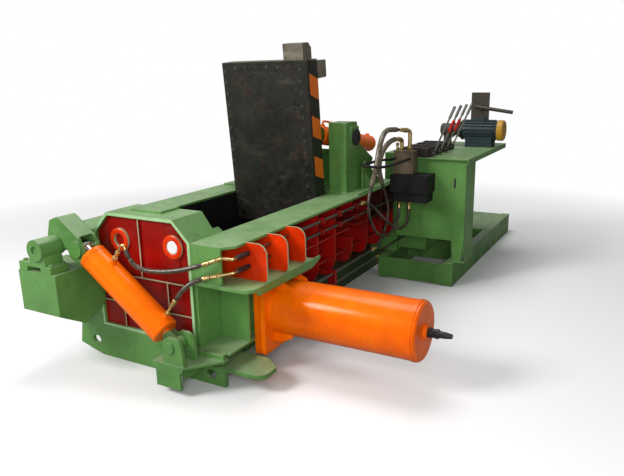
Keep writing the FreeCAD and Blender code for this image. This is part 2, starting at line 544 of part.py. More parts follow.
def lid_cylinders():
    ty, tz = TRUNNION
    ey, ez = LID_PIN
    d = vec(0, ey - ty, ez - tz)
    reach = d.Length
    d.normalize()
    dd = (0, d.y, d.z)

    def at(s, x=LID_CYL_X):
        return (x, ty + d.y * s, tz + d.z * s)

    rear, front = -1125.0, 148.0
    shell = turned((LID_CYL_X, ty, tz), dd, [(rear, 0), (rear, LID_CYL_R - 8), (rear + 8, LID_CYL_R),
                                             (rear + 45, LID_CYL_R),
                                             (rear + 45, LID_CYL_R - 4), (front - 48, LID_CYL_R - 4),
                                             (front - 48, LID_CYL_R),
                                             (front - 6, LID_CYL_R), (front, LID_CYL_R - 6), (front, 0)])
    ring = turned((LID_CYL_X, ty, tz), dd, [(-50, 60), (-50, LID_CYL_R + 2), (50, LID_CYL_R + 2), (50, 60)])
    pins = rod((207, ty, tz), (LID_CYL_X + 351, ty, tz), TRUNNION_R)
    bore = turned((LID_CYL_X, ty, tz), dd, [(rear + 16, 0), (rear + 16, LID_BORE), (front - 48, LID_BORE),
                                            (front - 48, LID_ROD_R + RUN), (front + 5, LID_ROD_R + RUN),
                                            (front + 5, 0)])
    up = vec(0, -d.z, d.y)
    if up.z < 0:
        up = up * -1.0
    bosses = []
    drills = []
    for s in (front - 78, rear + 66):
        p = vec(*at(s))
        bosses.append(rod(tuple(p + up * 70), tuple(p + up * 112), 24))
        drills.append(rod(tuple(p + up * 60), tuple(p + up * 120), 9))
    body = fuse([shell, ring, pins] + bosses).cut([bore] + drills)
    p0, p1 = vec(*at(front - 78)), vec(*at(rear + 66))
    line = swept([tuple(p0 + up * 112), tuple(p0 + up * 150), tuple(p0 + up * 150 - d * 260),
                  tuple(p0 + up * 118 - d * 420)], 11, 30)
    PARTS["lid_barrels"] = Part.makeCompound([body, mirror(body)])
    PARTS["lid_port_pipes"] = Part.makeCompound([line, mirror(line)])
    inside = rear + 18
    stem = turned((LID_CYL_X, ty, tz), dd, [(inside, 0), (inside, LID_BORE - GAP),
                                            (inside + 30, LID_BORE - GAP), (inside + 30, LID_ROD_R),
                                            (reach - 40, LID_ROD_R), (reach - 40, 0)])
    eye = rod((LID_CYL_X - 40, ey, ez), (LID_CYL_X + 40, ey, ez), 54)
    pin = rod((LID_CYL_X - 84, ey, ez), (LID_CYL_X + 84, ey, ez), LID_PIN_R)
    discs = [rod((LID_CYL_X - 84, ey, ez), (LID_CYL_X - 71, ey, ez), 72), rod((LID_CYL_X + 71, ey, ez),
                                                                              (LID_CYL_X + 84, ey, ez), 72)]
    body = fuse([stem, eye, pin] + discs)
    PARTS["lid_rods"] = Part.makeCompound([body, mirror(body)])


def turn_out():
    sx, sz = SHAFT
    (x0, x1), (y0, y1), (z0, z1), t = BOX_X, BOX_Y, BOX_Z, 14
    box = block(x0, x1, y0, y1, z0, z1).cut(block(x0 + t, x1 - t, y0 + t, y1, z0 - 10, z1 - t))
    cheek = plate("X", x1, x1 + t, [(y0, z0), (-240, 390), (y1, 500), (y1, z1), (y0, z1)])
    box = fuse([box, cheek])
    PARTS["turnout_support"] = box
    blocks = []
    saddle = plate("Y", -470, -300, [(-830, 850), (-745, 850), (-735, 893, 12), (-585, 893, 12),
                                     (-575, 850),
                                     (-470, 850), (-470, 905), (-525, 905, 10), (-535, 985, 20),
                                     (-690, 985, 20), (-700, 925, 15), (-830, 925, 10)])
    hub = rod((sx, -485, sz), (sx, -290, sz), 85)
    stem = block(sx - 70, sx + 70, -460, -310, 940, 1020)
    pillow = fuse([saddle, hub, stem]).cut(rod((sx, -500, sz), (sx, -280, sz), SHAFT_R + RUN))
    blocks.append(pillow)
    mid = tube((sx, 20, sz), (sx, 60, sz), 48, SHAFT_R + RUN)
    blocks.append(mid)
    rear = plate("Y", 840, 880, [(-700, 940), (-700, 1080), (-530, 1080), (-530, 940), (-560, 920),
                                 (-660, 920)])
    rear = rear.cut(rod((sx, 830, sz), (sx, 890, sz), SHAFT_R + RUN))
    blocks.append(rear)
    PARTS["pillow_blocks"] = Part.makeCompound(blocks)
    PARTS["turnout_shaft"] = rod((sx, -472, sz), (sx, 885, sz), SHAFT_R)
    px, pz = TURN_PIN
    path = pin_path(SHAFT, TURN_PIN, TURN_FOOT, TURN_K, TURN_C, TURN_RANGE, 8)
    crown = [(-690, 960, 45), (-690, 1110, 40), (-655, 1225, 35), (-560, 1262, 45), (-345, 1105, 50),
             (-310, 1020, 30),
             (-385, 915, 60), (-470, 985, 30), (-530, 1075, 40), (-552, 965, 35)]
    plates = []
    for y in (-285, -140):
        p = plate("Y", y, y + 25, crown).fuse(rod((-388, y, 1003), (-388, y + 25, 1003), 85))
        p = p.cut(rod((sx, y - 5, sz), (sx, y + 30, sz), SHAFT_R))
        for i in range(len(path) - 1):
            p = p.cut(stadium("Y", y - 2, y + 27, path[i], path[i + 1], TURN_PIN_R + SLOT_GAP))
        plates.append(p)
    hub = tube((sx, -260, sz), (sx, -140, sz), 62, SHAFT_R)
    web = block(-640, -560, -260, -140, 1120, 1200)
    cover = plate("Y", -262, -138, [(-690, 1060), (-690, 1110, 40), (-655, 1225, 35), (-560, 1262, 45),
                                    (-361, 1117),
                                    (-370.4, 1104.1), (-562.3, 1243.9, 29), (-642, 1212.9, 19),
                                    (-674, 1107.6, 24), (-674, 1060)])
    PARTS["turnout_lever"] = fuse(plates + [hub, web, cover])
    y0, y1 = FRONT_WALL + 10, BALE_END - 10
    wall = block(-530, -501, y0, y1, 262, 905)
    floor = block(-530, -112, y0, y1, 261, 279.5)
    arms = []
    for y in (485, 755):
        arm = plate("Y", y, y + 30, [(-652, 1030), (-610, 1030), (-565, 1030), (-565, 912), (-530, 868),
                                     (-530, 300), (-590, 330), (-652, 620)])
        boss = rod((sx, y, sz), (sx, y + 30, sz), 48)
        arms.append(arm.fuse(boss))
    tie = block(-640, -560, 514, 756, 560, 590)
    body = fuse([wall, floor] + arms + [tie]).cut(rod((sx, 400, sz), (sx, 900, sz), SHAFT_R))
    PARTS["turnout_carrier"] = body


def turn_cylinder():
    y = TURN_Y
    cx, cz = TURN_FOOT
    px, pz = TURN_PIN
    d = vec(px - cx, 0, pz - cz)
    full = d.Length
    d.normalize()
    dd = (d.x, 0, d.z)
    lower, upper = 125.0, 991.0
    shell = turned((cx, y, cz), dd, [(lower, 0), (lower, TURN_R - 10), (lower + 10, TURN_R),
                                     (upper - 46, TURN_R), (upper - 46, TURN_R - 3),
                                     (upper - 42, TURN_R - 3), (upper - 42, TURN_R), (upper - 8, TURN_R),
                                     (upper, TURN_R - 8), (upper, 0)])
    bore = turned((cx, y, cz), dd, [(lower + 40, 0), (lower + 40, TURN_BORE), (upper - 70, TURN_BORE),
                                    (upper - 70, TURN_ROD_R + RUN), (upper + 5, TURN_ROD_R + RUN),
                                    (upper + 5, 0)])
    neck = turned((cx, y, cz), dd, [(0, 0), (0, 38), (lower + 5, 42), (lower + 5, 0)])
    eye = rod((cx, y - 50, cz), (cx, y + 50, cz), 50)
    neck = neck.common(block(cx - 300, cx + 300, y - 50, y + 50, cz - 200, cz + 400))
    side = vec(-d.z, 0, d.x)
    if side.z < 0:
        side = side * -1.0
    bosses = []
    drills = []
    foot = vec(cx, y, cz)
    for s in (upper - 195, upper - 800):
        p = foot + d * s
        bosses.append(rod(tuple(p + side * 80), tuple(p + side * 132), 26))
        drills.append(rod(tuple(p + side * 60), tuple(p + side * 140), 10))
    body = fuse([shell, neck, eye] + bosses)
    body = body.cut([bore, rod((cx, y - 60, cz), (cx, y + 60, cz), FOOT_PIN_R + RUN)] + drills)
    PARTS["turnout_barrel"] = body
    stem = turned((cx, y, cz), dd, [(lower + 50, 0), (lower + 50, TURN_BORE - GAP),
                                    (lower + 100, TURN_BORE - GAP), (lower + 100, TURN_ROD_R),
                                    (full - 30, TURN_ROD_R), (full - 30, 0)])
    eye = rod((px, y - 55, pz), (px, y + 55, pz), 50)
    pin = rod((px, y - 100, pz), (px, y + 100, pz), TURN_PIN_R)
    discs = [rod((px, y - 100, pz), (px, y - 86, pz), 70), rod((px, y + 86, pz), (px, y + 100, pz), 70)]
    PARTS["turnout_rod"] = fuse([stem, eye, pin] + discs)
    ears = []
    for yy in (-285, -145):
        ears.append(plate("Y", yy, yy + 30, [(430, 250), (615, 250), (600, 400), (585, 462, 72),
                                             (435, 462, 72), (425, 400)]))
    top = plate("Z", 230, 250, [(310, -290), (610, -290), (810, -60), (810, -10), (310, -10)])
    foot_plate = block(345, 575, -290, -270, 60, 230)
    web = [block(350, 370, -270, -10, 60, 230), block(550, 570, -240, -10, 120, 230)]
    skirt = block(310, 600, -290, -270, 200, 231)
    bar = block(565, 800, -60, -45, 220, 290)
    gusset = plate("Y", -80, -66, [(180, 250), (340, 448, 20), (470, 310), (490, 230), (330, 230)])
    bracket = fuse(ears + [top, foot_plate, skirt, bar, gusset] + web)
    PARTS["cylinder_bracket"] = bracket.cut(rod((cx, -300, cz), (cx, -100, cz), FOOT_PIN_R))
    PARTS["bracket_pin"] = fuse([rod((cx, -297, cz), (cx, -103, cz), FOOT_PIN_R),
                                 rod((cx, -297, cz), (cx, -285, cz), 44)])


def power_unit():
    (near, far), (start, end), top, t = SKID_X, SKID_Y, SKID_TOP, 14
    rail = block(near, near + 100, start, end, 0, top)
    rail = rail.cut(block(near + 15, near + 110, start - 10, end + 10, t, top - t))
    rail2 = block(far - 100, far, start, end, 0, top)
    rail2 = rail2.cut(block(far - 110, far - 15, start - 10, end + 10, t, top - t))
    cross = [block(near + t, far - t, y, y + t, t, top - t) for y in (start, 3900, 4700, end - t)]
    deck = block(near + 100, far - 98, 4700, end, 240, 252)
    feet = []
    for x in (near + 50, far - 50):
        for y in ANCHOR_YS:
            feet.append(block(x - 50, x + 50, y - 60, y + 60, 0, t))
    body = fuse([rail, rail2, deck] + cross + feet)
    holes = [rod((x, y, -5), (x, y, 20), ANCHOR_R) for x in ANCHOR_XS for y in ANCHOR_YS]
    PARTS["pump_skid"] = body.cut(holes)
    front = plate("Y", 3050, 3064, [(900, 500), (1548, 500), (1572, 260), (1660, 260), (1690, 520),
                                    (1690, 1385),
                                     (900, 1385)])
    slot = plate("Y", 3040, 3055, [(1560, 1080, 10), (1580, 1080, 10), (1580, 1190, 10), (1560, 1190, 10)])
    flange = plate("X", 1676, 1690, [(3060, 400), (3120, 260), (3400, 260), (3400, 1385), (3060, 1385)])
    base = block(1510, 1700, 3045, 3410, 260, 272)
    flange2 = block(1660, 1690, 3386, 3400, 260, 1385)
    table = block(900, 1720, 3000, 4700, TABLE_TOP - 15, TABLE_TOP)
    lip = block(1706, 1720, 3000, 4700, TABLE_TOP - 55, TABLE_TOP - 14)
    lip2 = block(1200, 1720, 4686, 4700, TABLE_TOP - 55, TABLE_TOP - 14)
    stand = fuse([front.cut(slot), flange, flange2, base, table, lip, lip2])
    PARTS["pump_stand"] = stand
    (x0, x1), (y0, y1), t = TANK_X, TANK_Y, TANK_T
    z0, z1 = SKID_TOP, TABLE_TOP - 15
    tank = block(x0, x1, y0, y1, z0, z1).cut(block(x0 + t, x1 - t, y0 + t, y1 - t, z0 + t, z1 - t))
    hatch = turned((x1, 3760, 900), (1, 0, 0), [(0, 0), (0, 170), (10, 170), (10, 150), (14, 150), (14, 0)])
    PARTS["oil_tank"] = tank
    PARTS["tank_hatch"] = hatch
    y, z = MOTOR_Y, MOTOR_Z
    motor = turned((0, y, z), (1, 0, 0), [(1290, 0), (1290, 96), (1306, 105), (1700, 105), (1716, 98),
                                          (1716, 0)])
    fins = []
    for a in range(0, 360, 20):
        fin = block(1320, 1690, y - 4, y + 4, z + 95, z + 125)
        fin.rotate(vec(0, y, z), vec(1, 0, 0), a)
        fins.append(fin)
    foot = [block(1350, 1660, y - 110, y - 60, 1400, 1520), block(1350, 1660, y + 60, y + 110, 1400, 1520)]
    box = block(1420, 1560, y - 60, y + 60, z + 90, z + 150)
    PARTS["electric_motor"] = fuse([motor] + fins + foot + [box])
    PARTS["motor_fan_cover"] = turned((1716, y, z), (1, 0, 0), [(0, 0), (0, 122), (62, 122), (74, 108),
                                                                (74, 0)])
    bell = turned((0, y, z), (1, 0, 0), [(1180, 0), (1180, 70), (1205, 70), (1270, 105), (1290, 125),
                                         (1290, 0)])
    pump = turned((0, y, z), (1, 0, 0), [(1020, 0), (1020, 60), (1035, 75), (1150, 75), (1150, 92),
                                         (1180, 92), (1180, 0)])
    PARTS["hydraulic_pump"] = fuse([bell, pump, block(1060, 1140, y - 40, y + 40, 1400, 1540)])
    filter_can = turned((1510, 4600, 1400), (0, 0, 1), [(0, 0), (0, 75), (10, 80), (38, 80), (46, 70),
                                                        (46, 0)])
    PARTS["filler_cap"] = filter_can
    cooler = fuse([block(1330, 1550, 4440, 4456, 1400, 2035), block(1350, 1530, 4456, 4515, 1500, 2015)])
    handle = rod((1390, 4412, 1865), (1840, 4412, 1800), 22)
    lug = block(1430, 1470, 4400, 4445, 1825, 1890)
    PARTS["oil_cooler"] = fuse([cooler, handle, lug])


def valves():
    manifold = block(945, 1165, 2858, 2998, 1235, 1480)
    PARTS["valve_manifold"] = manifold.cut([rod((x, VALVE_Y, 1440), (x, VALVE_Y, 1500),
                                                14) for x in (960, 1010, 1100)])
    stack = [block(930, 1350, 2800, 3049, 1040, 1230), block(960, 1330, 2840, 3049, 935, 1041)]
    guide = swept([(1130, 2858, 1400), (1130, 2160, 1400), (870, 2160, 1400), (870, 2620, 1400),
                   (965, 2760, 1400), (965, 2858, 1400)], 14, 110)
    PARTS["valve_block"] = Part.makeCompound([fuse(stack), guide])
    sections = []
    for y in LEVER_YS:
        body = block(980, 1280, y - 42, y + 42, 1400, 1500)
        nose = rod((930, y, 1450), (985, y, 1450), 26)
        clevis = block(1280, 1335, y - 24, y + 24, 1412, 1478).cut(block(1292, 1340, y - 13, y + 13, 1405,
                                                                         1485))
        clevis = clevis.cut(rod((LEVER_X, y - 30, LEVER_Z), (LEVER_X, y + 30, LEVER_Z), 7 + RUN))
        sections.append(fuse([body, nose, clevis]))
    for y, after in zip(LEVER_YS, LEVER_YS[1:]):
        sections.append(block(1000, 1262, y + 42, after - 42, 1400, 1488))
    for y in (LEVER_YS[0] - 58, LEVER_YS[-1] + 58):
        sections.append(block(985, 1275, y - 16, y + 16, 1400, 1492))
    PARTS["valve_bank"] = Part.makeCompound(sections)
    for i, y in enumerate(LEVER_YS):
        top = vec(LEVER_X + LEVER_ARM[0], y, LEVER_Z + LEVER_ARM[1])
        foot = vec(LEVER_X, y, LEVER_Z)
        arm = rod(tuple(foot), tuple(top), 10)
        hub = rod((LEVER_X, y - 12.5, LEVER_Z), (LEVER_X, y + 12.5, LEVER_Z), 18)
        pin = rod((LEVER_X, y - 24, LEVER_Z), (LEVER_X, y + 24, LEVER_Z), 7)
        run = top - foot
        run.normalize()
        grip = rod(tuple(top - run * 120), tuple(top + run * 12), 15)
        PARTS["valve_lever_%d" % (i + 1)] = fuse([arm, hub, pin, grip])


HOSE_R = 13.0
VALVE_HOSE_R = 15.0
PIPE_R = 12.0
PIPE_X = 880.0          # upper pressure pipes on the right side
PORT_X = 950.0          # lower pressure pipes from the side cylinder

HOSES = {
    "hose_front_upper": (HOSE_R, [(52, -200, 1050), (86.6, -200, 967.8), (170, -190, 908), (330, -158, 900),
                                  (490, -122, 922), (640, -78, 965), (720, -47, 995)]),
    "hose_front_lower": (HOSE_R, [(470, -200, 677), (532.5, -200, 762.6), (598, -158, 842),
                                  (672, -108, 882), (735, -68, 893)]),
    "hose_valve_outer": (VALVE_HOSE_R, [(1060, 2860, 1700), (975, 2711.25, 1721.25), (985, 2500, 1715),
                                        (1000, 2340, 1580),
                                        (1000, 2280, 1390), (1000, 2160, 1230), (1000, 2065, 1050),
                                        (1000, 2130, 860),
                                        (1000, 2300, 690), (1000, 2540, 610), (1000, 2790, 650),
                                        (1000, 2900, 790), (1000, 2900, 905)]),
    "hose_valve_inner": (VALVE_HOSE_R, [(1010, 2840, 1605), (1010, 2680, 1628.1), (970, 2510, 1540),
                                        (950, 2430, 1370),
                                        (950, 2520, 1190), (950, 2650, 1030), (950, 2720, 850),
                                        (950, 2650, 680),
                                        (950, 2530, 560), (950, 2420, 520), (950, 2320, 520)]),
    "hose_side": (VALVE_HOSE_R, [(880, 2200, 1020), (880, 2310, 1020), (905, 2420, 950), (950, 2500, 850),
                                 (1010, 2570, 755), (1080, 2674, 664), (1113, 2805, 674), (1115, 2900, 770),
                                 (1115, 2900, 905)]),
}


def hydraulics():
    for name, (r, points) in HOSES.items():
        shape = swept(points, r)
        length = bent_wire(points, None).Length
        PARTS[name] = shape
        arcs = [edge.Curve.Radius for edge in bent_wire(points, None).Edges if isinstance(edge.Curve,
                                                                                          Part.Circle)]
        runs = [(vec(*a) - vec(*b)).Length for a, b in zip(points, points[1:])]
        print(name, "length %.0f" % length,
              "volume ratio %.4f" % (shape.Volume / (math.pi * r * r * length)))
        print("  radii", " ".join("%.0f" % radius for radius in arcs))
        print("  runs", " ".join("%.0f" % run for run in runs))
    pipes = [
        rod((PIPE_X, 205, 920), (PIPE_X, 3400, 920), PIPE_R),
        rod((PIPE_X, 205, 1020), (PIPE_X, 2160, 1020), PIPE_R),
        rod((PORT_X, 876, 520), (PORT_X, 2280, 520), PIPE_R),
        swept([(PORT_X, 876, 420), (PORT_X, 2560, 420), (900, 2700, 420), (900, 3400, 420)], PIPE_R, 60),
    ]
    PARTS["pressure_pipes"] = Part.makeCompound(pipes)
    rods = [rod((PIPE_X, 60, z), (PIPE_X, 205, z), 19) for z in (1020, 920)]
    clamps = []
    for y in (1340, 1680, 2050):
        for z in (1020, 920):
            clamp = block(840, PIPE_X + 26, y - 20, y + 20, z - 24, z + 24)
            clamps.append(clamp.cut(rod((PIPE_X, y - 30, z), (PIPE_X, y + 30, z), PIPE_R)))
    lower = block(840, PORT_X + 26, 1400, 1440, 396, 544)
    strap = block(790, 842, 1400, 1440, 500, 544)
    lower = lower.fuse(strap).cut([rod((PORT_X, 1390, z), (PORT_X, 1450, z), PIPE_R) for z in (420, 520)])
    lower = lower.cut(block(700, 900, 1390, 1450, 380, 500))
    clamps.append(lower)
    PARTS["pipe_clamps"] = Part.makeCompound(rods + clamps)
    brass = []
    for start, bend, end in (((720, -47, 995), (800, -16, 1025), (PIPE_X, 60, 1020)),
                             ((735, -68, 893), (798, -28, 904), (PIPE_X, 60, 920))):
        a, b = vec(*start), vec(*bend)
        d = (b - a).normalize()
        brass.append(swept([start, bend, (end[0], end[1] - 40, end[2]), end], 11, 18))
        brass[-1] = fuse([brass[-1], rod(start, tuple(a + d * 46), 16),
                          hexagon(tuple(a + d * 50), tuple(d), 34, 22)])
    for p, y in (((PIPE_X, 2160, 1020), 40), ((PORT_X, 2280, 520), 40)):
        brass.append(fuse([rod(p, (p[0], p[1] + y, p[2]), 17), hexagon((p[0], p[1] + 4, p[2]), (0, 1, 0),
                                                                       44, 26)]))
    brass.append(tube((PORT_X, 2385, 420), (PORT_X, 2425, 420), 21, PIPE_R))
    for x, top, out in ((1100, 1690, (1060, 2860, 1700)), (1010, 1592, (1010, 2840, 1605))):
        elbow = swept([(x, VALVE_Y, 1480), (x, VALVE_Y, top), out], 21, 36)
        a, b = vec(x, VALVE_Y, top), vec(*out)
        d = (b - a).normalize()
        brass.append(fuse([elbow, hexagon((x, VALVE_Y, 1480), (0, 0, 1), 52, 30), rod(tuple(b - d * 34),
                                                                                      tuple(b), 26)]))
    stub = fuse([rod((960, VALVE_Y, 1480), (960, VALVE_Y, 1560), 13),
                 hexagon((960, VALVE_Y, 1480), (0, 0, 1), 26, 26),
                 hexagon((960, VALVE_Y, 1530), (0, 0, 1), 36, 24)])
    brass.append(stub)
    for x in (1000, 1115):
        brass.append(fuse([rod((x, 2900, 905), (x, 2900, 935), 18), hexagon((x, 2900, 912), (0, 0, 1),
                                                                            44, 18)]))
    PARTS["brass_fittings"] = Part.makeCompound(brass)
    cx, cz = TURN_FOOT
    d = vec(TURN_PIN[0] - cx, 0, TURN_PIN[1] - cz).normalize()
    side = vec(-d.z, 0, d.x)
    if side.z < 0:
        side = side * -1.0
    foot = vec(cx, TURN_Y, cz)
    up, low = foot + d * 796.0 + side * 132.0, foot + d * 191.0 + side * 132.0
    elbow = swept([tuple(up), (30.4, TURN_Y, 1101.4), (51.8, TURN_Y, 1050.5)], 11, 20)
    tip = vec(470, TURN_Y, 677)
    sleeve = rod(tuple(low), tuple(tip - (tip - low).normalize() * 0.6), 12)
    fittings = [fuse([elbow, hexagon(tuple(up), tuple(side), 38, 26), hexagon(tuple(up + side * 60),
                                                                              tuple(side), 34, 24)]),
                fuse([sleeve, hexagon(tuple(low), tuple(side), 38, 26)])]
    PARTS["turnout_fittings"] = Part.makeCompound(fittings)


def bolts():
    heads = []
    for x, top in ((-787, 925), (-497, 905)):
        for yy in (-440, -330):
            heads.append(hexagon((x, yy, top), (0, 0, 1), 30, 18))
    for a in range(0, 360, 45):
        c, s = math.cos(math.radians(a + 22.5)), math.sin(math.radians(a + 22.5))
        heads.append(hexagon((222 * c, 3290, MAIN_Z + 222 * s), (0, 1, 0), 30, 18))
    for sx in (-1, 1):
        for yy, zz in ((HINGE_Y - 55, HINGE_Z - 92), (HINGE_Y + 55, HINGE_Z - 92),
                       (HINGE_Y - 55, HINGE_Z + 92), (HINGE_Y + 55, HINGE_Z + 92)):
            heads.append(hexagon((sx * 550, yy, zz), (sx, 0, 0), 22, 12))
    PARTS["frame_bolts"] = Part.makeCompound(heads)


GROUPS = {
    "chamber_plates": ["chamber_floor", "wall_left", "wall_right", "roof_plate"],
    "rails": ["rail_left", "rail_right", "deck_plate", "tower_wall"],
    "end_block": ["end_block", "front_ribs", "top_patch"],
    "side_shelves": ["pocket_shelf", "bottom_shelf"],
    "lid_towers": ["lid_towers", "inner_brackets", "lid_bearings"],
    "lid_barrels": ["lid_barrels", "lid_port_pipes"],
    "oil_tank": ["oil_tank", "tank_hatch", "filler_cap"],
    "cylinder_glands": ["main_cylinder_gland", "side_cylinder_gland"],
    "pins_and_bolts": ["frame_bolts", "bracket_pin"],
}

base_frame()
chamber()
rails()
end_block()
side_structure()
side_cylinder()
main_cylinder()
towers()
lid()
lid_cylinders()
turn_out()
turn_cylinder()
power_unit()
valves()
hydraulics()
bolts()

for group, names in GROUPS.items():
    solids = []
    for name in names:
        solids.extend(PARTS.pop(name).Solids)
    PARTS[group] = Part.makeCompound(solids)

for name, shape in PARTS.items():
    shape.exportStep("parts/%s.step" % name)
print(len(PARTS), "nodes")
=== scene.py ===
import math

import bpy
from mathutils import Matrix, Vector


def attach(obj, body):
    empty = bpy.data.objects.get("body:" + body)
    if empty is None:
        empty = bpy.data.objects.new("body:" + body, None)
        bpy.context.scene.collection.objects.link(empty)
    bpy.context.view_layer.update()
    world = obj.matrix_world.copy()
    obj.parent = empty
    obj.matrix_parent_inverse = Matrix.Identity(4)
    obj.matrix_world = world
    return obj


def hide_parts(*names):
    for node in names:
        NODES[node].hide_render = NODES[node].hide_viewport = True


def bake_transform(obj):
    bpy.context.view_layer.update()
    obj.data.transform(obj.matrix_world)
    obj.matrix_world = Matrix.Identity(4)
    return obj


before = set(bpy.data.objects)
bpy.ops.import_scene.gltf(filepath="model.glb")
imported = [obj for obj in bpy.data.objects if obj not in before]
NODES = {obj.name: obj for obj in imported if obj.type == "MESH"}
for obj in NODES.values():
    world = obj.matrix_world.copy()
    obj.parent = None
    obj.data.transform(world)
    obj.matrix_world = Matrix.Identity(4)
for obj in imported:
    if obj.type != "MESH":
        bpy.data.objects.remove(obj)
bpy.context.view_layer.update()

# ---------------------------------------------------------------- camera

CAMERA_PLACE = Vector((3.460, -3.381, 2.278))
CAMERA_TURN = 29.6              # degrees left of +Y
CAMERA_DROP = 14.7              # degrees below the horizon
CAMERA_ROLL = -1.15
FOCAL_PIXELS, IMAGE_WIDTH = 620.0, 624.0
SENSOR = 36.0


def make_camera():
    turn, drop, roll = (math.radians(a) for a in (CAMERA_TURN, CAMERA_DROP, CAMERA_ROLL))
    ahead = Vector((-math.sin(turn) * math.cos(drop), math.cos(turn) * math.cos(drop), -math.sin(drop)))
    level = Vector((math.cos(turn), math.sin(turn), 0.0))
    up = level.cross(ahead)
    right = level * math.cos(roll) + up * math.sin(roll)
    up = up * math.cos(roll) - level * math.sin(roll)
    data = bpy.data.cameras.new("camera")
    data.sensor_width = SENSOR
    data.lens = SENSOR * FOCAL_PIXELS / IMAGE_WIDTH
    data.clip_start, data.clip_end = 0.1, 200.0
    camera = bpy.data.objects.new("camera", data)
    axes = Matrix((right, up, -ahead)).transposed()
    camera.matrix_world = Matrix.Translation(CAMERA_PLACE) @ axes.to_4x4()
    bpy.context.scene.collection.objects.link(camera)
    bpy.context.scene.camera = camera


# ---------------------------------------------------------------- hoses

# (radius, body at the start, points of the route), in metres. The front pair leaves the turn-out cylinder.
HOSES = {
    "hose_front_upper": (0.013, "turnout_cylinder", (
        (0.052, -0.200, 1.050), (0.0866, -0.200, 0.9678), (0.170, -0.190, 0.908), (0.330, -0.158, 0.900),
        (0.490, -0.122, 0.922), (0.640, -0.078, 0.965), (0.720, -0.047, 0.995))),
    "hose_front_lower": (0.013, "turnout_cylinder", (
        (0.470, -0.200, 0.677), (0.5325, -0.200, 0.7626), (0.598, -0.158, 0.842), (0.672, -0.108, 0.882),
        (0.735, -0.068, 0.893))),
    "hose_valve_outer": (0.015, "frame", (
        (1.060, 2.860, 1.700), (0.975, 2.71125, 1.72125), (0.985, 2.500, 1.715), (1.000, 2.340, 1.580),
        (1.000, 2.280, 1.390), (1.000, 2.160, 1.230), (1.000, 2.065, 1.050), (1.000, 2.130, 0.860),
        (1.000, 2.300, 0.690), (1.000, 2.540, 0.610), (1.000, 2.790, 0.650), (1.000, 2.900, 0.790),
        (1.000, 2.900, 0.905))),
    "hose_valve_inner": (0.015, "frame", (
        (1.010, 2.840, 1.605), (1.010, 2.680, 1.6281), (0.970, 2.510, 1.540), (0.950, 2.430, 1.370),
        (0.950, 2.520, 1.190), (0.950, 2.650, 1.030), (0.950, 2.720, 0.850), (0.950, 2.650, 0.680),
        (0.950, 2.530, 0.560), (0.950, 2.420, 0.520), (0.950, 2.320, 0.520))),
    "hose_side": (0.015, "frame", (
        (0.880, 2.200, 1.020), (0.880, 2.310, 1.020), (0.905, 2.420, 0.950), (0.950, 2.500, 0.850),
        (1.010, 2.570, 0.755), (1.080, 2.674, 0.664), (1.113, 2.805, 0.674), (1.115, 2.900, 0.770),
        (1.115, 2.900, 0.905))),
}
# Shares of the length where a sleeve starts and ends, its radius and its finish.
SLEEVES = {
    "hose_front_upper": (0.10, 0.90, 0.0185, "sleeve_dark"),
    "hose_front_lower": (0.19, 0.81, 0.0175, "sleeve_dark"),
    "hose_valve_outer": (0.04, 0.42, 0.0265, "sleeve"),
    "hose_valve_inner": (0.05, 0.44, 0.0265, "sleeve"),
}
SLEEVE_STEP = 0.02              # length of one ring of a sleeve
SLEEVE_END = 0.8                # radius of its drawn-in ends, in sleeve radii
COLLAR_START, COLLAR_STOP = 0.004, 0.062        # along the hose, from its end
COLLAR_SIZE = 1.42              # radius in hose radii
COLLAR_GROOVE, COLLAR_LIP = 0.88, 0.9           # grooves in collar radii, and the lip in groove radii
DARK_COLLARS = ("hose_front_upper_start_collar",)       # the others are brass
HOSE_STEPS = 12                 # points of the drawn line between two points of the route
HOSE_SIDES = 4                  # bevel steps of a quarter of the hose's round
TUBE_SIDES = 20                 # sides of collars and sleeves


def route_curve(name, points, radius):
    """A hose's route as a smooth curve with the hose's thickness."""
    data = bpy.data.curves.new(name, "CURVE")
    data.dimensions = "3D"
    data.resolution_u = HOSE_STEPS
    spline = data.splines.new("NURBS")
    spline.points.add(len(points) - 1)
    for place, point in zip(spline.points, points):
        place.co = (*point, 1.0)
    spline.order_u = 3
    spline.use_endpoint_u = True
    data.bevel_depth = radius
    data.bevel_resolution = HOSE_SIDES
    data.use_fill_caps = True
    curve = bpy.data.objects.new(name, data)
    bpy.context.scene.collection.objects.link(curve)
    return curve


def drawn_line(curve):
    """The curve's own centreline: the points that it is drawn through."""
    depth, curve.data.bevel_depth = curve.data.bevel_depth, 0.0
    bpy.context.view_layer.update()
    line = bpy.data.meshes.new_from_object(curve)
    points = [tuple(v.co) for v in line.vertices]
    bpy.data.meshes.remove(line)
    curve.data.bevel_depth = depth
    return points


def line_length(points):
    return sum((Vector(b) - Vector(a)).length for a, b in zip(points, points[1:]))


def smooth(faces):
    for face in faces:
        face.use_smooth = True


def place_on_line(points, distance):
    """(point, direction) at a distance along a drawn line."""
    for a, b in zip(points, points[1:]):
        step = Vector(b) - Vector(a)
        if distance <= step.length:
            return Vector(a) + step.normalized() * distance, step.normalized()
        distance -= step.length
    return Vector(points[-1]), (Vector(points[-1]) - Vector(points[-2])).normalized()


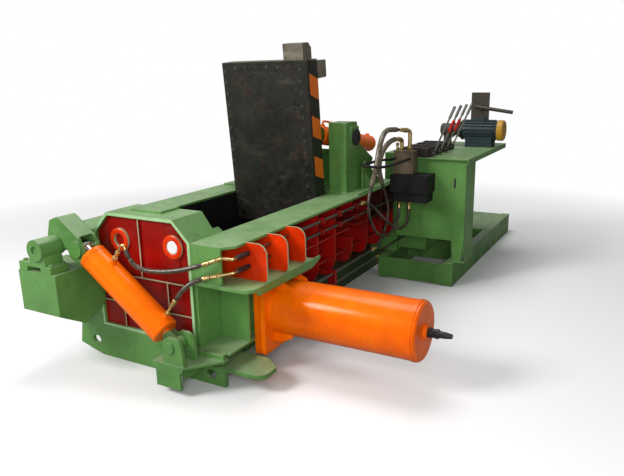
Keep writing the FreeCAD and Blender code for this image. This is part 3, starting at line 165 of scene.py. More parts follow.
def ringed_tube(name, line, profile, material):
    """Closed tube about a line, from (distance along it, radius) pairs."""
    sides = TUBE_SIDES
    vertices, faces = [], []
    side = None
    for distance, radius in profile:
        middle, along = place_on_line(line, distance)
        side = along.orthogonal() if side is None else side - along * side.dot(along)
        side.normalize()
        other = along.cross(side)
        for k in range(sides):
            a = math.tau * k / sides
            vertices.append(middle + side * (radius * math.cos(a)) + other * (radius * math.sin(a)))
    for i in range(len(profile) - 1):
        for k in range(sides):
            after = (k + 1) % sides
            faces.append((i * sides + k, i * sides + after, (i + 1) * sides + after, (i + 1) * sides + k))
    faces.append(tuple(range(sides))[::-1])
    faces.append(tuple(range(len(vertices) - sides, len(vertices))))
    mesh = bpy.data.meshes.new(name)
    mesh.from_pydata(vertices, [], faces)
    smooth(mesh.polygons[:-2])
    mesh.materials.append(material)
    piece = bpy.data.objects.new(name, mesh)
    bpy.context.scene.collection.objects.link(piece)
    return piece


def collar_profile(start, stop, radius):
    """Crimped collar: a plain foot, pressed ridges and a rounded end."""
    low, high = radius * COLLAR_GROOVE, radius
    radii = (low, high, high, low, high, high, low, high, high, low, low * COLLAR_LIP)
    step = (stop - start) / (len(radii) - 1)
    return [(start + step * i, r) for i, r in enumerate(radii)]


def sleeve_profile(start, stop, radius):
    """Woven sleeve: even, with drawn-in ends."""
    steps = max(8, int((stop - start) / SLEEVE_STEP))
    body = [(start + (stop - start) * i / steps, radius) for i in range(1, steps)]
    return [(start, radius * SLEEVE_END)] + body + [(stop, radius * SLEEVE_END)]


def ride_hose(piece, start_body):
    """A hose of the frame rides on it; one from a moving body stays where it is drawn, its place baked into
    its mesh.
    """
    if start_body == "frame":
        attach(piece, "frame")
    else:
        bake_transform(piece)


def make_hose(name, radius, start_body, points, sleeve):
    """A free hose with its collars and sleeve."""
    curve = route_curve(name + "_line", points, radius)
    line = drawn_line(curve)
    bpy.context.view_layer.update()
    mesh = bpy.data.meshes.new_from_object(curve)
    bpy.data.objects.remove(curve)
    smooth(mesh.polygons)
    hose = bpy.data.objects.new(name + "_rubber", mesh)
    bpy.context.scene.collection.objects.link(hose)
    mesh.materials.clear()
    mesh.materials.append(MATERIALS["hose_rubber"])
    length = line_length(line)
    pieces = []
    for end, start, stop in (("start", COLLAR_START, COLLAR_STOP),
                             ("end", length - COLLAR_START, length - COLLAR_STOP)):
        profile = collar_profile(start, stop, radius * COLLAR_SIZE)
        collar = "%s_%s_collar" % (name, end)
        finish = "bolt_steel" if collar in DARK_COLLARS else "brass"
        pieces.append(ringed_tube(collar, line, profile, MATERIALS[finish]))
    if sleeve:
        start, stop, sleeve_radius, finish = sleeve
        profile = sleeve_profile(start * length, stop * length, sleeve_radius)
        pieces.append(ringed_tube(name + "_sleeve", line, profile, MATERIALS[finish]))
    for piece in [hose] + pieces:
        ride_hose(piece, start_body)
    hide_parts(name)


# ---------------------------------------------------------------- materials

def feed(tree, socket, value):
    """Give an input a value or a colour, or link another node's output to it."""
    if isinstance(value, bpy.types.NodeSocket):
        tree.links.new(value, socket)
    else:
        socket.default_value = value


def add(tree, kind, inputs=None, **settings):
    """A node with its settings and inputs."""
    made = tree.nodes.new("ShaderNode" + kind)
    for key, value in settings.items():
        setattr(made, key, value)
    for key, value in (inputs or {}).items():
        feed(tree, made.inputs[key], value)
    return made


def mixed(tree, factor, a, b):
    """Colour between a and b."""
    made = add(tree, "Mix", data_type="RGBA")
    for index, value in ((0, factor), (6, a), (7, b)):
        feed(tree, made.inputs[index], value)
    return made.outputs[2]


def ranged(tree, value, low, high, to_low=0.0, to_high=1.0):
    """The value's place from low to high, held within 0 to 1 or the two given limits."""
    made = add(tree, "MapRange", {"Value": value, "From Min": low, "From Max": high,
                                  "To Min": to_low, "To Max": to_high}, clamp=True)
    return made.outputs[0]


def math_node(tree, operation, a, b=0.0):
    return add(tree, "Math", {0: a, 1: b}, operation=operation).outputs[0]


def times(tree, *factors):
    """Product of two or more values."""
    product = factors[0]
    for factor in factors[1:]:
        product = math_node(tree, "MULTIPLY", product, factor)
    return product


def noise(tree, place, scale, detail, rough, distort=0.0):
    made = add(tree, "TexNoise", {"Vector": place, "Scale": scale, "Detail": detail, "Roughness": rough,
                                  "Distortion": distort})
    return made.outputs["Fac"]


def rgba(colour):
    return (*colour, 1.0)


def from_hex(code):
    """Linear colour of an sRGB hex code."""
    parts = [int(code[i:i + 2], 16) / 255.0 for i in (0, 2, 4)]
    return tuple(c / 12.92 if c <= 0.04045 else ((c + 0.055) / 1.055) ** 2.4 for c in parts)


BEVEL_RAYS = 6
EDGE_FLAT, EDGE_SHARP = 0.97, 0.80      # rounded normal on the flat one, where wear starts and is full
WEAR_NONE, WEAR_ALL = 0.62, 0.70        # noise levels where wear starts and is full
WEAR_REACH = 0.22               # a wear of 1.0 lowers the first by this
PAINT_SHINE, PAINT_COAT_ROUGH = 0.35, 0.12


class Finish:
    """One material under construction: a node tree with object coordinates ready."""

    def __init__(self, name):
        self.material = bpy.data.materials.new(name)
        self.material.use_nodes = True
        self.tree = self.material.node_tree
        self.shader = self.tree.nodes["Principled BSDF"]
        coordinates = self.tree.nodes.new("ShaderNodeTexCoord")
        self.place = coordinates.outputs["Object"]
        self.normal = coordinates.outputs["Normal"]

    def stretched(self, scale):
        return add(self.tree, "Mapping", {"Vector": self.place, "Scale": scale}).outputs[0]

    def edges(self, radius, wear=1.0):
        """(rounded normal, mask of worn edges)"""
        bevel = add(self.tree, "Bevel", {"Radius": radius}, samples=BEVEL_RAYS)
        flat = self.tree.nodes.new("ShaderNodeNewGeometry").outputs["Normal"]
        dot = add(self.tree, "VectorMath", {0: bevel.outputs[0], 1: flat}, operation="DOT_PRODUCT")
        sharp = ranged(self.tree, dot.outputs["Value"], EDGE_FLAT, EDGE_SHARP)
        chips = noise(self.tree, self.place, 14.0, 6.0, 0.65)
        broken = ranged(self.tree, chips, WEAR_NONE - WEAR_REACH * wear, WEAR_ALL)
        return bevel.outputs[0], times(self.tree, sharp, broken)

    def link(self, socket, value):
        feed(self.tree, self.shader.inputs[socket], value)

    def bump(self, height, strength, distance, normal=None):
        inputs = {"Height": height, "Strength": strength, "Distance": distance}
        if normal is not None:
            inputs["Normal"] = normal
        self.link("Normal", add(self.tree, "Bump", inputs).outputs[0])


def painted(name, colour, shade, rough=0.32, wear=0.8, bare=(0.16, 0.15, 0.13), grime=0.35,
            dirt=(0.035, 0.028, 0.02), peel=0.12, round_off=0.006, coat=0.12, dust_and_top_light=0.0, stripes=None,
            tint=(1.0, 1.0, 1.0)):
    """Gloss machine paint: uneven coat, runs of grime, worn edges, orange peel, and paler tops that are
    partly dusty and partly painted light.
    stripes, where given, colours the coat before the dirt; tint colours its shine."""
    f = Finish(name)
    t = f.tree
    broad = ranged(t, noise(t, f.place, 1.6, 5.0, 0.55), 0.36, 0.66)
    body = mixed(t, broad, rgba(colour), rgba(shade))
    patch = ranged(t, noise(t, f.place, 9.0, 6.0, 0.6, 0.4), 0.45, 0.75, 0.0, 0.35)
    body = mixed(t, patch, body, rgba(tuple(c * 1.25 for c in colour)))
    # paler where it faces up: partly dusty, partly painted light falling on the tops
    if dust_and_top_light:
        upward = ranged(t, add(t, "SeparateXYZ", {0: f.normal}).outputs[2], 0.55, 0.95)
        cloud = ranged(t, noise(t, f.place, 2.3, 7.0, 0.62, 0.4), 0.30, 0.66, 0.45, 1.0)
        body = mixed(t, times(t, upward, cloud, dust_and_top_light), body, rgba(DUST_AND_TOP_LIGHT))
    if stripes:
        body = stripes(f, body)
    runs = noise(t, f.stretched((7.0, 7.0, 0.9)), 1.0, 7.0, 0.6, 0.3)
    spots = noise(t, f.place, 22.0, 8.0, 0.7)
    smear = times(t, ranged(t, runs, 0.50, 0.74), ranged(t, spots, 0.34, 0.62), grime)
    body = mixed(t, smear, body, rgba(dirt))
    rounded, worn = f.edges(round_off, wear)
    body = mixed(t, times(t, worn, 0.85), body, rgba(bare))
    f.link("Base Color", body)
    gloss = ranged(t, noise(t, f.place, 5.0, 6.0, 0.6), 0.3, 0.7, rough * 0.7, rough * 1.45)
    gloss = math_node(t, "ADD", gloss, times(t, math_node(t, "ADD", smear, worn), 0.3))
    f.link("Roughness", gloss)
    f.link("Specular IOR Level", PAINT_SHINE)
    f.link("Specular Tint", rgba(tint))
    f.link("Coat Weight", coat)
    f.link("Coat Roughness", PAINT_COAT_ROUGH)
    f.bump(noise(t, f.place, 120.0, 3.0, 0.5), peel, 0.002, rounded)
    return f.material


def steel(name, colour, shade, rough, metallic, rust, scratch, round_off=0.004, stripes=None):
    """Rolled or machined steel with scale, scuffs and rust stains, and painted stripes where given."""
    f = Finish(name)
    t = f.tree
    broad = ranged(t, noise(t, f.place, 2.6, 6.0, 0.6, 0.5), 0.34, 0.66)
    body = mixed(t, broad, rgba(colour), rgba(shade))
    scuff = noise(t, f.stretched((3.0, 90.0, 6.0)), 1.0, 5.0, 0.6)
    scuffed = ranged(t, scuff, 0.56, 0.72, 0.0, scratch)
    body = mixed(t, scuffed, body, rgba(tuple(min(1.0, c * 2.4 + 0.02) for c in colour)))
    stain = ranged(t, noise(t, f.place, 7.0, 8.0, 0.68, 0.6), 0.52, 0.74, 0.0, rust)
    body = mixed(t, stain, body, rgba(RUST))
    rounded, worn = f.edges(round_off)
    body = mixed(t, times(t, worn, 0.6), body, rgba(RUBBED_EDGE))
    if stripes:
        body = stripes(f, body)
    f.link("Base Color", body)
    f.link("Metallic", metallic)
    gloss = ranged(t, noise(t, f.place, 16.0, 6.0, 0.6), 0.3, 0.7, rough * 0.7, rough * 1.4)
    f.link("Roughness", math_node(t, "ADD", gloss, times(t, stain, 0.3)))
    f.bump(noise(t, f.place, 70.0, 5.0, 0.6), 0.15, 0.002, rounded)
    return f.material


def turned_metal(name, colour, rough, dull=0.25):
    """Fine machined or polished metal with a light film of oil."""
    f = Finish(name)
    t = f.tree
    film = ranged(t, noise(t, f.place, 11.0, 6.0, 0.6), 0.4, 0.7, 0.0, dull)
    body = mixed(t, film, rgba(colour), rgba(tuple(c * 0.35 for c in colour)))
    rounded, worn = f.edges(0.003)
    body = mixed(t, times(t, worn, 0.5), body, rgba(tuple(min(1.0, c * 1.5) for c in colour)))
    f.link("Base Color", body)
    f.link("Metallic", 1.0)
    f.link("Roughness", ranged(t, noise(t, f.place, 30.0, 6.0, 0.6), 0.3, 0.7, rough * 0.7, rough * 1.5))
    f.bump(noise(t, f.place, 160.0, 3.0, 0.5), 0.06, 0.001, rounded)
    return f.material


def woven(name, dark, light):
    """Woven hose sleeve with a shine along its threads."""
    f = Finish(name)
    t = f.tree
    scuff = ranged(t, noise(t, f.place, 26.0, 6.0, 0.65), 0.36, 0.68)
    body = mixed(t, scuff, rgba(dark), rgba(light))
    f.link("Base Color", body)
    f.link("Roughness", ranged(t, noise(t, f.place, 50.0, 5.0, 0.6), 0.3, 0.7, 0.24, 0.46))
    f.link("Coat Weight", 0.25)
    f.bump(noise(t, f.place, 300.0, 2.0, 0.5), 0.35, 0.002)
    return f.material


def rubber(name):
    """Black-brown hose cover with a fabric-marked, scuffed skin."""
    f = Finish(name)
    t = f.tree
    scuff = ranged(t, noise(t, f.place, 18.0, 6.0, 0.6), 0.42, 0.72)
    body = mixed(t, scuff, rgba((0.022, 0.017, 0.012)), rgba((0.110, 0.085, 0.056)))
    f.link("Base Color", body)
    f.link("Roughness", ranged(t, noise(t, f.place, 40.0, 5.0, 0.6), 0.3, 0.7, 0.28, 0.55))
    f.bump(noise(t, f.place, 420.0, 2.0, 0.5), 0.25, 0.001)
    return f.material


def edged_red(name, across):
    """Bright red plates whose cut rims are painted pale green; across is the number of the axis that the
    plates lie across."""
    f = Finish(name)
    t = f.tree
    split = add(t, "SeparateXYZ", {0: f.normal}).outputs[across]
    rim = ranged(t, math_node(t, "ABSOLUTE", split), 0.75, 0.55)
    ragged = noise(t, f.place, 12.0, 5.0, 0.6)
    rim = times(t, rim, ranged(t, ragged, 0.30, 0.42))
    broad = ranged(t, noise(t, f.place, 3.0, 5.0, 0.55), 0.38, 0.66)
    body = mixed(t, broad, rgba(from_hex("e63804")), rgba(from_hex("ac2004")))
    body = mixed(t, rim, body, rgba(from_hex("9fb890")))
    rounded, worn = f.edges(0.004)
    body = mixed(t, times(t, worn, 0.7), body, rgba(from_hex("b8c4a4")))
    f.link("Base Color", body)
    f.link("Roughness", ranged(t, noise(t, f.place, 7.0, 6.0, 0.6), 0.3, 0.7, 0.245, 0.49))
    f.link("Specular Tint", rgba((1.0, 0.40, 0.20)))
    f.link("Coat Weight", 0.08)
    f.bump(noise(t, f.place, 110.0, 3.0, 0.5), 0.12, 0.002, rounded)
    return f.material


# The open lid stands on its hinge and leans forward. Its stripes are drawn along its length from the hinge
# and across its thickness.
LID_HINGE = (2.0821, 0.8161)    # Y, Z
LID_LEAN = math.radians(5.2)
LID_SIDE = 0.480                # the stripes lie outside this X, so not in the pockets
STRIPE_COUNT = 3
STRIPE_FOOT, STRIPE_PITCH = 0.468, 0.395
STRIPE_SHARE = 0.50             # painted share of the pitch
STRIPE_SLOPE = 0.42
STRIPE_FROM, STRIPE_TO = -0.094, 0.074          # across the lid's thickness


def lid_stripes(f, body):
    """Orange warning bars with sloping ends on the right and left sides of the lid."""
    t = f.tree
    place = add(t, "SeparateXYZ", {0: f.place}).outputs
    across = add(t, "SeparateXYZ", {0: f.normal}).outputs[0]
    outer = math_node(t, "ABSOLUTE", place[0])
    y = math_node(t, "SUBTRACT", place[1], LID_HINGE[0])
    z = math_node(t, "SUBTRACT", place[2], LID_HINGE[1])
    c, s = math.cos(LID_LEAN), math.sin(LID_LEAN)
    thick = math_node(t, "ADD", times(t, y, c), times(t, z, s))
    along = math_node(t, "SUBTRACT", times(t, z, c), times(t, y, s))
    along = math_node(t, "ADD", along, times(t, thick, STRIPE_SLOPE))
    count = math_node(t, "DIVIDE", math_node(t, "SUBTRACT", along, STRIPE_FOOT), STRIPE_PITCH)
    part = math_node(t, "FRACT", count)
    chips = ranged(t, noise(t, f.place, 30.0, 7.0, 0.7), 0.26, 0.34)
    mask = times(t, ranged(t, part, STRIPE_SHARE, STRIPE_SHARE + 0.012, 1.0, 0.0),
                 ranged(t, thick, STRIPE_FROM, STRIPE_FROM + 0.004),
                 ranged(t, thick, STRIPE_TO, STRIPE_TO + 0.003, 1.0, 0.0),
                 ranged(t, count, 0.0, 0.01),
                 ranged(t, count, STRIPE_COUNT - 0.01, STRIPE_COUNT, 1.0, 0.0),
                 ranged(t, math_node(t, "ABSOLUTE", across), 0.9, 0.95),
                 ranged(t, outer, LID_SIDE, LID_SIDE + 0.005), chips)
    return mixed(t, mask, body, rgba(STRIPE_ORANGE))


# Where zones of one colour fade into the next, as (from, to), and how much of the colour they take.
RIBS_START_Y = (0.93, 0.95)
# the upper rear of the side ribs: painted shade behind the hoses, with oil
SHADED_OILY_RIBS_Y, SHADED_OILY_RIBS_Z, SHADED_OILY_RIBS_SHARE = (2.30, 2.55), (0.66, 0.80), 0.92
# the base between the side cylinder and the rear bulkhead: painted shade, with oil
SHADED_OILY_BASE_START_Y, SHADED_OILY_BASE_END_Y, SHADED_OILY_BASE_SHARE = (0.70, 1.20), (3.10, 3.50), 0.78
# the colours on the next line, in order: the wall's red darkened as painted shade, and painted shade with
# oil on the ribs and on the base
WALL_RED_IN_SHADE, RIB_SHADE_AND_OIL, BASE_SHADE_AND_OIL = (0.040, 0.003, 0.002), (0.010, 0.006, 0.005), (0.016, 0.020, 0.010)


def wall_zones(f, body):
    """The chamber wall is green ahead of the side ribs and red behind them, a red darkened as painted shade
    between the ribs.
    """
    y = add(f.tree, "SeparateXYZ", {0: f.place}).outputs[1]
    return mixed(f.tree, ranged(f.tree, y, *RIBS_START_Y), body, rgba(WALL_RED_IN_SHADE))


def rib_zones(f, body):
    """The upper rear of the side ribs is near black behind the hoses: painted shade, with oil."""
    place = add(f.tree, "SeparateXYZ", {0: f.place}).outputs
    rear = ranged(f.tree, place[1], *SHADED_OILY_RIBS_Y)
    high = ranged(f.tree, place[2], *SHADED_OILY_RIBS_Z, 0.0, SHADED_OILY_RIBS_SHARE)
    return mixed(f.tree, times(f.tree, rear, high), body, rgba(RIB_SHADE_AND_OIL))


def base_zones(f, body):
    """The base is dark between the side cylinder and the rear bulkhead: painted shade, with oil."""
    y = add(f.tree, "SeparateXYZ", {0: f.place}).outputs[1]
    start = ranged(f.tree, y, *SHADED_OILY_BASE_START_Y, 0.0, SHADED_OILY_BASE_SHARE)
    end = ranged(f.tree, y, *SHADED_OILY_BASE_END_Y, 1.0, 0.0)
    return mixed(f.tree, times(f.tree, start, end), body, rgba(BASE_SHADE_AND_OIL))


GREEN, GREEN_SHADE = from_hex("60914a"), from_hex("4b773a")
# the pale green of the tops: partly dusty, partly painted light falling on them
DUST_AND_TOP_LIGHT = from_hex("a9bb96")
STRIPE_ORANGE = from_hex("f07818")
RUST = (0.16, 0.055, 0.018)
RUBBED_EDGE = (0.34, 0.33, 0.31)

MATERIALS = {
    # green paint, with paler tops that are partly dusty and partly painted light
    "green": painted("green_paint_and_top_light", GREEN, GREEN_SHADE, wear=1.0, grime=0.5, round_off=0.008, dust_and_top_light=0.5),
    # pale green on the end block's front rim, and as a painted highlight on the towers' rear slope; paler
    # tops as well
    "green_pale": painted("pale_green_paint_and_highlight", from_hex("a4cc96"), from_hex("8fb882"), dust_and_top_light=0.4, grime=0.15),
    "rib_edge": painted("rib_edge_paint", from_hex("a8a884"), from_hex("8f9272"), grime=0.2),
    "red": painted("red_paint", from_hex("960c08"), from_hex("5c0604"), rough=0.36, grime=0.5, coat=0.05,
                   tint=(1.0, 0.40, 0.30)),
    # red paint, with painted shade and oil on the upper rear of the side ribs
    "rib_red": painted("rib_red_paint_and_shade", from_hex("a80e08"), from_hex("7c0a06"), rough=0.36, grime=0.5,
                       coat=0.05, stripes=rib_zones),
    "red_bright": edged_red("bright_red_paint", 1),
    "orange": painted("orange_paint", from_hex("fa7000"), from_hex("e85c00"), rough=0.34, wear=0.5,
                      bare=(0.55, 0.16, 0.02), grime=0.25, dirt=(0.20, 0.055, 0.012), peel=0.35, coat=0.25,
                      tint=(1.0, 0.42, 0.06)),
    "white_paint": painted("white_paint", (0.80, 0.81, 0.82), (0.70, 0.72, 0.74), grime=0.2),
    # black paint, and painted shade on the floor of the pump stand's slot
    "black_paint": painted("black_paint", (0.018, 0.019, 0.020), (0.010, 0.010, 0.011), rough=0.4,
                           grime=0.2),
    "motor_blue": painted("motor_blue_paint", from_hex("24363c"), from_hex("1c2a30"), rough=0.4),
    "ochre": painted("ochre_paint", from_hex("c8962a"), from_hex("a87a20"), rough=0.4),
    "cooler_paint": painted("cooler_paint", from_hex("40392f"), from_hex("2e2923"), rough=0.5, grime=0.5),
    # green paint, and behind the side ribs red darkened as painted shade
    "wall_green": painted("wall_paint_and_shade", GREEN, GREEN_SHADE, stripes=wall_zones),
    # green paint with paler tops, and painted shade with oil between the side cylinder and the rear
    # bulkhead
    "base_green": painted("base_paint_light_and_shade", GREEN, GREEN_SHADE, dust_and_top_light=0.5, stripes=base_zones),
    "grimy_black": painted("grimy_black_paint", (0.006, 0.0055, 0.005), (0.003, 0.003, 0.003), rough=0.7,
                           grime=0.1, coat=0.0, bare=(0.05, 0.045, 0.04)),
    # steel: colour, shade, roughness, metallic, rust, scratches
    "trough_steel": steel("trough_plate", (0.020, 0.024, 0.023), (0.011, 0.013, 0.013), 0.45, 0.6, 0.25,
                          0.5),
    "lid_steel": steel("lid_plate", (0.022, 0.023, 0.016), (0.008, 0.0085, 0.006), 0.50, 0.4, 0.26, 0.50,
                       stripes=lid_stripes),
    "worn_steel": steel("worn_steel", from_hex("8a8272"), from_hex("5f584c"), 0.42, 0.55, 0.1, 0.3),
    "bolt_steel": steel("bolt_steel", from_hex("4c4e46"), from_hex("34362f"), 0.42, 0.6, 0.15, 0.3),
    "bare_steel": steel("bare_steel", (0.30, 0.29, 0.27), (0.19, 0.185, 0.175), 0.38, 0.95, 0.12, 0.3),
    "valve_iron": steel("valve_iron", from_hex("7a6c56"), from_hex("5c5040"), 0.5, 0.35, 0.12, 0.15),
    "bank_iron": steel("bank_iron", from_hex("352f27"), from_hex("24201b"), 0.5, 0.4, 0.15, 0.2),
    "pipe_steel": turned_metal("pipe_steel", (0.20, 0.19, 0.17), 0.34),
    "rod_chrome": turned_metal("rod_chrome", (0.72, 0.72, 0.70), 0.12, dull=0.1),
    "brass": turned_metal("brass", (0.66, 0.48, 0.20), 0.28),
    "hose_rubber": rubber("hose_rubber"),
    "sleeve": woven("woven_sleeve", (0.045, 0.036, 0.022), (0.20, 0.165, 0.105)),
    "sleeve_dark": woven("dark_woven_sleeve", (0.026, 0.018, 0.010), (0.085, 0.060, 0.032)),
    "grip_red": painted("grip_red", from_hex("b81408"), from_hex("8c0e06"), rough=0.4, grime=0.2),
}

FINISHES = {
    "base_green": ("base_frame",),
    "green": ("rails", "end_block", "side_shelves", "side_ram_housing", "rear_bulkhead", "lid_towers",
              "turnout_support", "pillow_blocks", "cylinder_bracket", "pump_skid", "pump_stand", "oil_tank",
              "turnout_lever", "pins_and_bolts"),
    "trough_steel": ("chamber_plates", "turnout_carrier"),
    "red": ("front_panel",),
    "rib_red": ("side_ribs",),
    "red_bright": ("port_rings", "pocket_ribs"),
    "white_paint": ("ring_plug",),
    "rod_chrome": ("main_ram_rod", "side_ram_rod", "lid_rods", "turnout_rod"),
    "orange": ("side_cylinder_barrel", "main_cylinder_barrel", "lid_barrels", "turnout_barrel"),
    "black_paint": ("side_cylinder_port", "bearing_caps", "pipe_clamps"),
    "grimy_black": ("valve_block",),
    "bare_steel": ("cylinder_glands", "lid_shaft", "turnout_shaft", "valve_lever_1", "valve_lever_2",
                   "valve_lever_3", "valve_lever_4"),
    "motor_blue": ("electric_motor",),
    "ochre": ("motor_fan_cover",),
    "cooler_paint": ("hydraulic_pump", "oil_cooler"),
    "valve_iron": ("valve_manifold",),
    "bank_iron": ("valve_bank",),
    "pipe_steel": ("pressure_pipes",),
    "brass": ("brass_fittings", "turnout_fittings"),
    "bolt_steel": ("lid_bolts",),
    "lid_steel": ("main_ram_head", "side_ram_head", "lid_frame", "lid_wear_plates"),
}

FACING, SIDEWAYS = 0.9, 0.1     # a face looks along an axis, or at right angles to it
CHAMBER_HALF, WALL_MIDDLE = 0.5, 0.515          # X of the chamber walls' inner faces, and of their middle
WALL_TOP = 1.07                 # Z just under their tops and the deck plate's
CLAMPS_RED_Y = 1.2              # the pipe clamps behind this are red
SHAFT_END_Y = -0.46             # the turn-out shaft's front end lies ahead of this
SLOT_X, SLOT_Y, SLOT_Z = (1.55, 1.59), (3.052, 3.057), (1.07, 1.20)     # round the pump stand's slot floor
TOWER_SLOPE_Y, TOWER_SLOPE_Z, TOWER_SLOPE_UP = 2.5, (1.38, 1.60), 0.6   # the towers' rear slope
TURN_FOOT, TURN_EYE_R = (0.49, 0.38), 0.12      # X, Z of the turn-out cylinder's lower eye, and its reach
LINER_Y, LINER_HALF, LINER_TOP = 0.409, 0.49, 1.09      # the end block's steel side, to the chamber
RIM_Y = 0.001                   # the end block's front rim lies ahead of this
RIB_FRONT_Y, RIB_SIDE_Y = (0.004, 0.012), (0.012, 0.03)         # the ribs on its red panel
TURN_Y, DISC_INNER = -0.2, 0.085        # the turn-out cylinder's axis, and from there to its pin's discs
LID_TONGUE_R = 1.60             # the lid's tongue lies further than this from the hinge
LID_CATCH_Y, LID_CATCH_Z = 2.03, 2.15   # its catch lies beyond both


def within(value, limits):
    return limits[0] < value < limits[1]


# Faces of a node that have another finish: node, finish, rule for a face's centre and normal.
REPAINTED = (
    ("chamber_plates", "wall_green", lambda c, n: abs(c.x) > WALL_MIDDLE and abs(n.x) > FACING),
    ("chamber_plates", "green", lambda c, n: c.z > WALL_TOP and n.z > FACING),
    ("chamber_plates", "green", lambda c, n: abs(c.x) > CHAMBER_HALF and n.y < -FACING),
    ("pipe_clamps", "red", lambda c, n: c.y > CLAMPS_RED_Y),
    ("turnout_shaft", "green", lambda c, n: c.y < SHAFT_END_Y),
    # painted shade: the floor of the pump stand's slot is painted black
    ("pump_stand", "black_paint", lambda c, n: (
        within(c.x, SLOT_X) and within(c.y, SLOT_Y) and within(c.z, SLOT_Z))),
    # painted highlight: the towers' rear slope is painted pale green where the light falls on it
    ("lid_towers", "green_pale", lambda c, n: (
        abs(c.x) > CHAMBER_HALF and n.z > TOWER_SLOPE_UP and within(c.z, TOWER_SLOPE_Z) and
        c.y > TOWER_SLOPE_Y)),
    ("turnout_barrel", "green", lambda c, n: (
        math.hypot(c.x - TURN_FOOT[0], c.z - TURN_FOOT[1]) < TURN_EYE_R)),
    ("end_block", "trough_steel", lambda c, n: (
        c.y > LINER_Y and abs(c.x) < LINER_HALF and c.z < LINER_TOP)),
    ("end_block", "green_pale", lambda c, n: abs(c.y) < RIM_Y and n.y < -FACING),
    ("end_block", "rib_edge", lambda c, n: within(c.y, RIB_FRONT_Y) and n.y < -FACING),
    ("end_block", "red", lambda c, n: within(c.y, RIB_SIDE_Y) and abs(n.y) < SIDEWAYS),
    ("turnout_rod", "green", lambda c, n: abs(c.y - TURN_Y) > DISC_INNER),
    ("lid_frame", "worn_steel", lambda c, n: (
        math.hypot(c.y - LID_HINGE[0], c.z - LID_HINGE[1]) > LID_TONGUE_R or
        (c.y > LID_CATCH_Y and c.z > LID_CATCH_Z))),
)


def dress_nodes():
    """Give each node its finish, and its repainted faces theirs."""
    for finish, nodes in FINISHES.items():
        for name in nodes:
            mesh = NODES[name].data
            mesh.materials.clear()
            mesh.materials.append(MATERIALS[finish])
    for name, finish, chosen in REPAINTED:
        mesh = NODES[name].data
        mesh.materials.append(MATERIALS[finish])
        for face in mesh.polygons:
            if chosen(face.center, face.normal):
                face.material_index = len(mesh.materials) - 1


LEVER_PIVOT = (1.316, 1.445)    # X, Z
LEVER_ARM = (0.210, 0.480)      # X and Z from the pivot to the lever's top
GRIPPED = {1: 3.30, 2: 3.52}    # the levers with a red sleeve, counted from 0, and their Y
GRIP_SHARE = (0.42, 0.70)       # where it starts and ends on the arm
GRIP_R = 0.0165


def make_lever_grips():
    """Red sleeves on two of the valve levers."""
    arm = Vector((LEVER_ARM[0], 0.0, LEVER_ARM[1]))
    low, high = (share * arm.length for share in GRIP_SHARE)
    for i, y in GRIPPED.items():
        foot = Vector((LEVER_PIVOT[0], y, LEVER_PIVOT[1]))
        grip = ringed_tube("lever_sleeve_%d" % (i + 1), (tuple(foot), tuple(foot + arm)),
                           sleeve_profile(low, high, GRIP_R), MATERIALS["grip_red"])
        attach(grip, "lever_%d" % (i + 1))


# ---------------------------------------------------------------- floor and light

FLOOR_HALF = 60.0
FLOOR_CENTRE = (0.0, 2.4, 0.0)
SHADOW_NEAR, SHADOW_FAR = 3.6, 7.5      # the floor fades to white between these distances from the centre
FLOOR_SEEN, FLOOR_BOUNCE = (0.85, 0.85, 0.85), (0.30, 0.30, 0.29)       # for the camera and for the rest
FLOOR_ROUGH = 0.8
WHITE = (1.0, 1.0, 1.0, 1.0)
SKY_LIGHT = 0.27                # strength for all but the camera, which sees white
LAMPS = (                       # name, place, aim, size, watts
    ("key", (-4.5, -6.0, 7.0), (0.2, 1.0, 0.6), 4.0, 900.0),
    ("side", (4.2, -4.6, 2.8), (0.5, 0.5, 0.6), 3.0, 200.0),
    ("top", (-0.5, 3.0, 9.0), (0.0, 2.5, 0.0), 5.0, 380.0),
)


def seen_directly(tree):
    """1 for what the camera sees, itself or through glass, and 0 for light that bounces."""
    path = tree.nodes.new("ShaderNodeLightPath").outputs
    return math_node(tree, "MAXIMUM", path["Is Camera Ray"], path["Is Transmission Ray"])


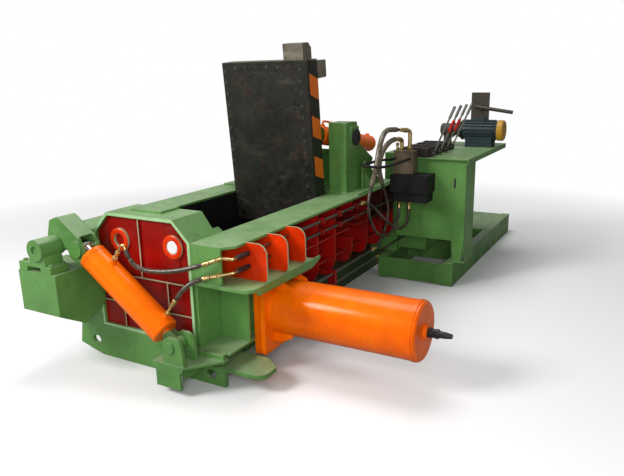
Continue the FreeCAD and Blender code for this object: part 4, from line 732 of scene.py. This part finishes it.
def make_floor():
    """Pale floor that catches the shadow near the machine and is white further out."""
    mesh = bpy.data.meshes.new("floor")
    s = FLOOR_HALF
    mesh.from_pydata([(-s, -s, 0), (s, -s, 0), (s, s, 0), (-s, s, 0)], [], [(0, 1, 2, 3)])
    floor = bpy.data.objects.new("floor", mesh)
    floor.location = FLOOR_CENTRE
    bpy.context.scene.collection.objects.link(floor)
    material = bpy.data.materials.new("pale_floor")
    material.use_nodes = True
    t = material.node_tree
    shader = t.nodes["Principled BSDF"]
    shader.inputs["Roughness"].default_value = FLOOR_ROUGH
    place = t.nodes.new("ShaderNodeTexCoord").outputs["Object"]
    distance = add(t, "VectorMath", {0: place}, operation="LENGTH").outputs["Value"]
    far = ranged(t, distance, SHADOW_NEAR, SHADOW_FAR)
    seen = seen_directly(t)
    t.links.new(mixed(t, seen, rgba(FLOOR_BOUNCE), rgba(FLOOR_SEEN)), shader.inputs["Base Color"])
    white = add(t, "Emission", {"Color": WHITE, "Strength": 1.0}).outputs[0]
    mix = add(t, "MixShader", {0: times(t, far, seen), 1: shader.outputs[0], 2: white})
    t.links.new(mix.outputs[0], t.nodes["Material Output"].inputs["Surface"])
    mesh.materials.append(material)


def make_world():
    world = bpy.data.worlds.new("studio")
    bpy.context.scene.world = world
    world.use_nodes = True
    t = world.node_tree
    strength = ranged(t, seen_directly(t), 0.0, 1.0, SKY_LIGHT, 1.0)
    background = t.nodes["Background"]
    background.inputs["Color"].default_value = WHITE
    t.links.new(strength, background.inputs["Strength"])


def make_lamps():
    for name, place, aim, size, watts in LAMPS:
        data = bpy.data.lights.new(name, "AREA")
        data.shape = "DISK"
        data.size = size
        data.energy = watts
        lamp = bpy.data.objects.new(name, data)
        lamp.location = place
        lamp.rotation_euler = (Vector(aim) - Vector(place)).to_track_quat("-Z", "Y").to_euler()
        bpy.context.scene.collection.objects.link(lamp)


bpy.context.scene.view_settings.view_transform = "Standard"
make_camera()
for hose_name, (hose_radius, hose_body, hose_points) in HOSES.items():
    make_hose(hose_name, hose_radius, hose_body, hose_points, SLEEVES.get(hose_name))
dress_nodes()
make_lever_grips()
make_floor()
make_world()
make_lamps()
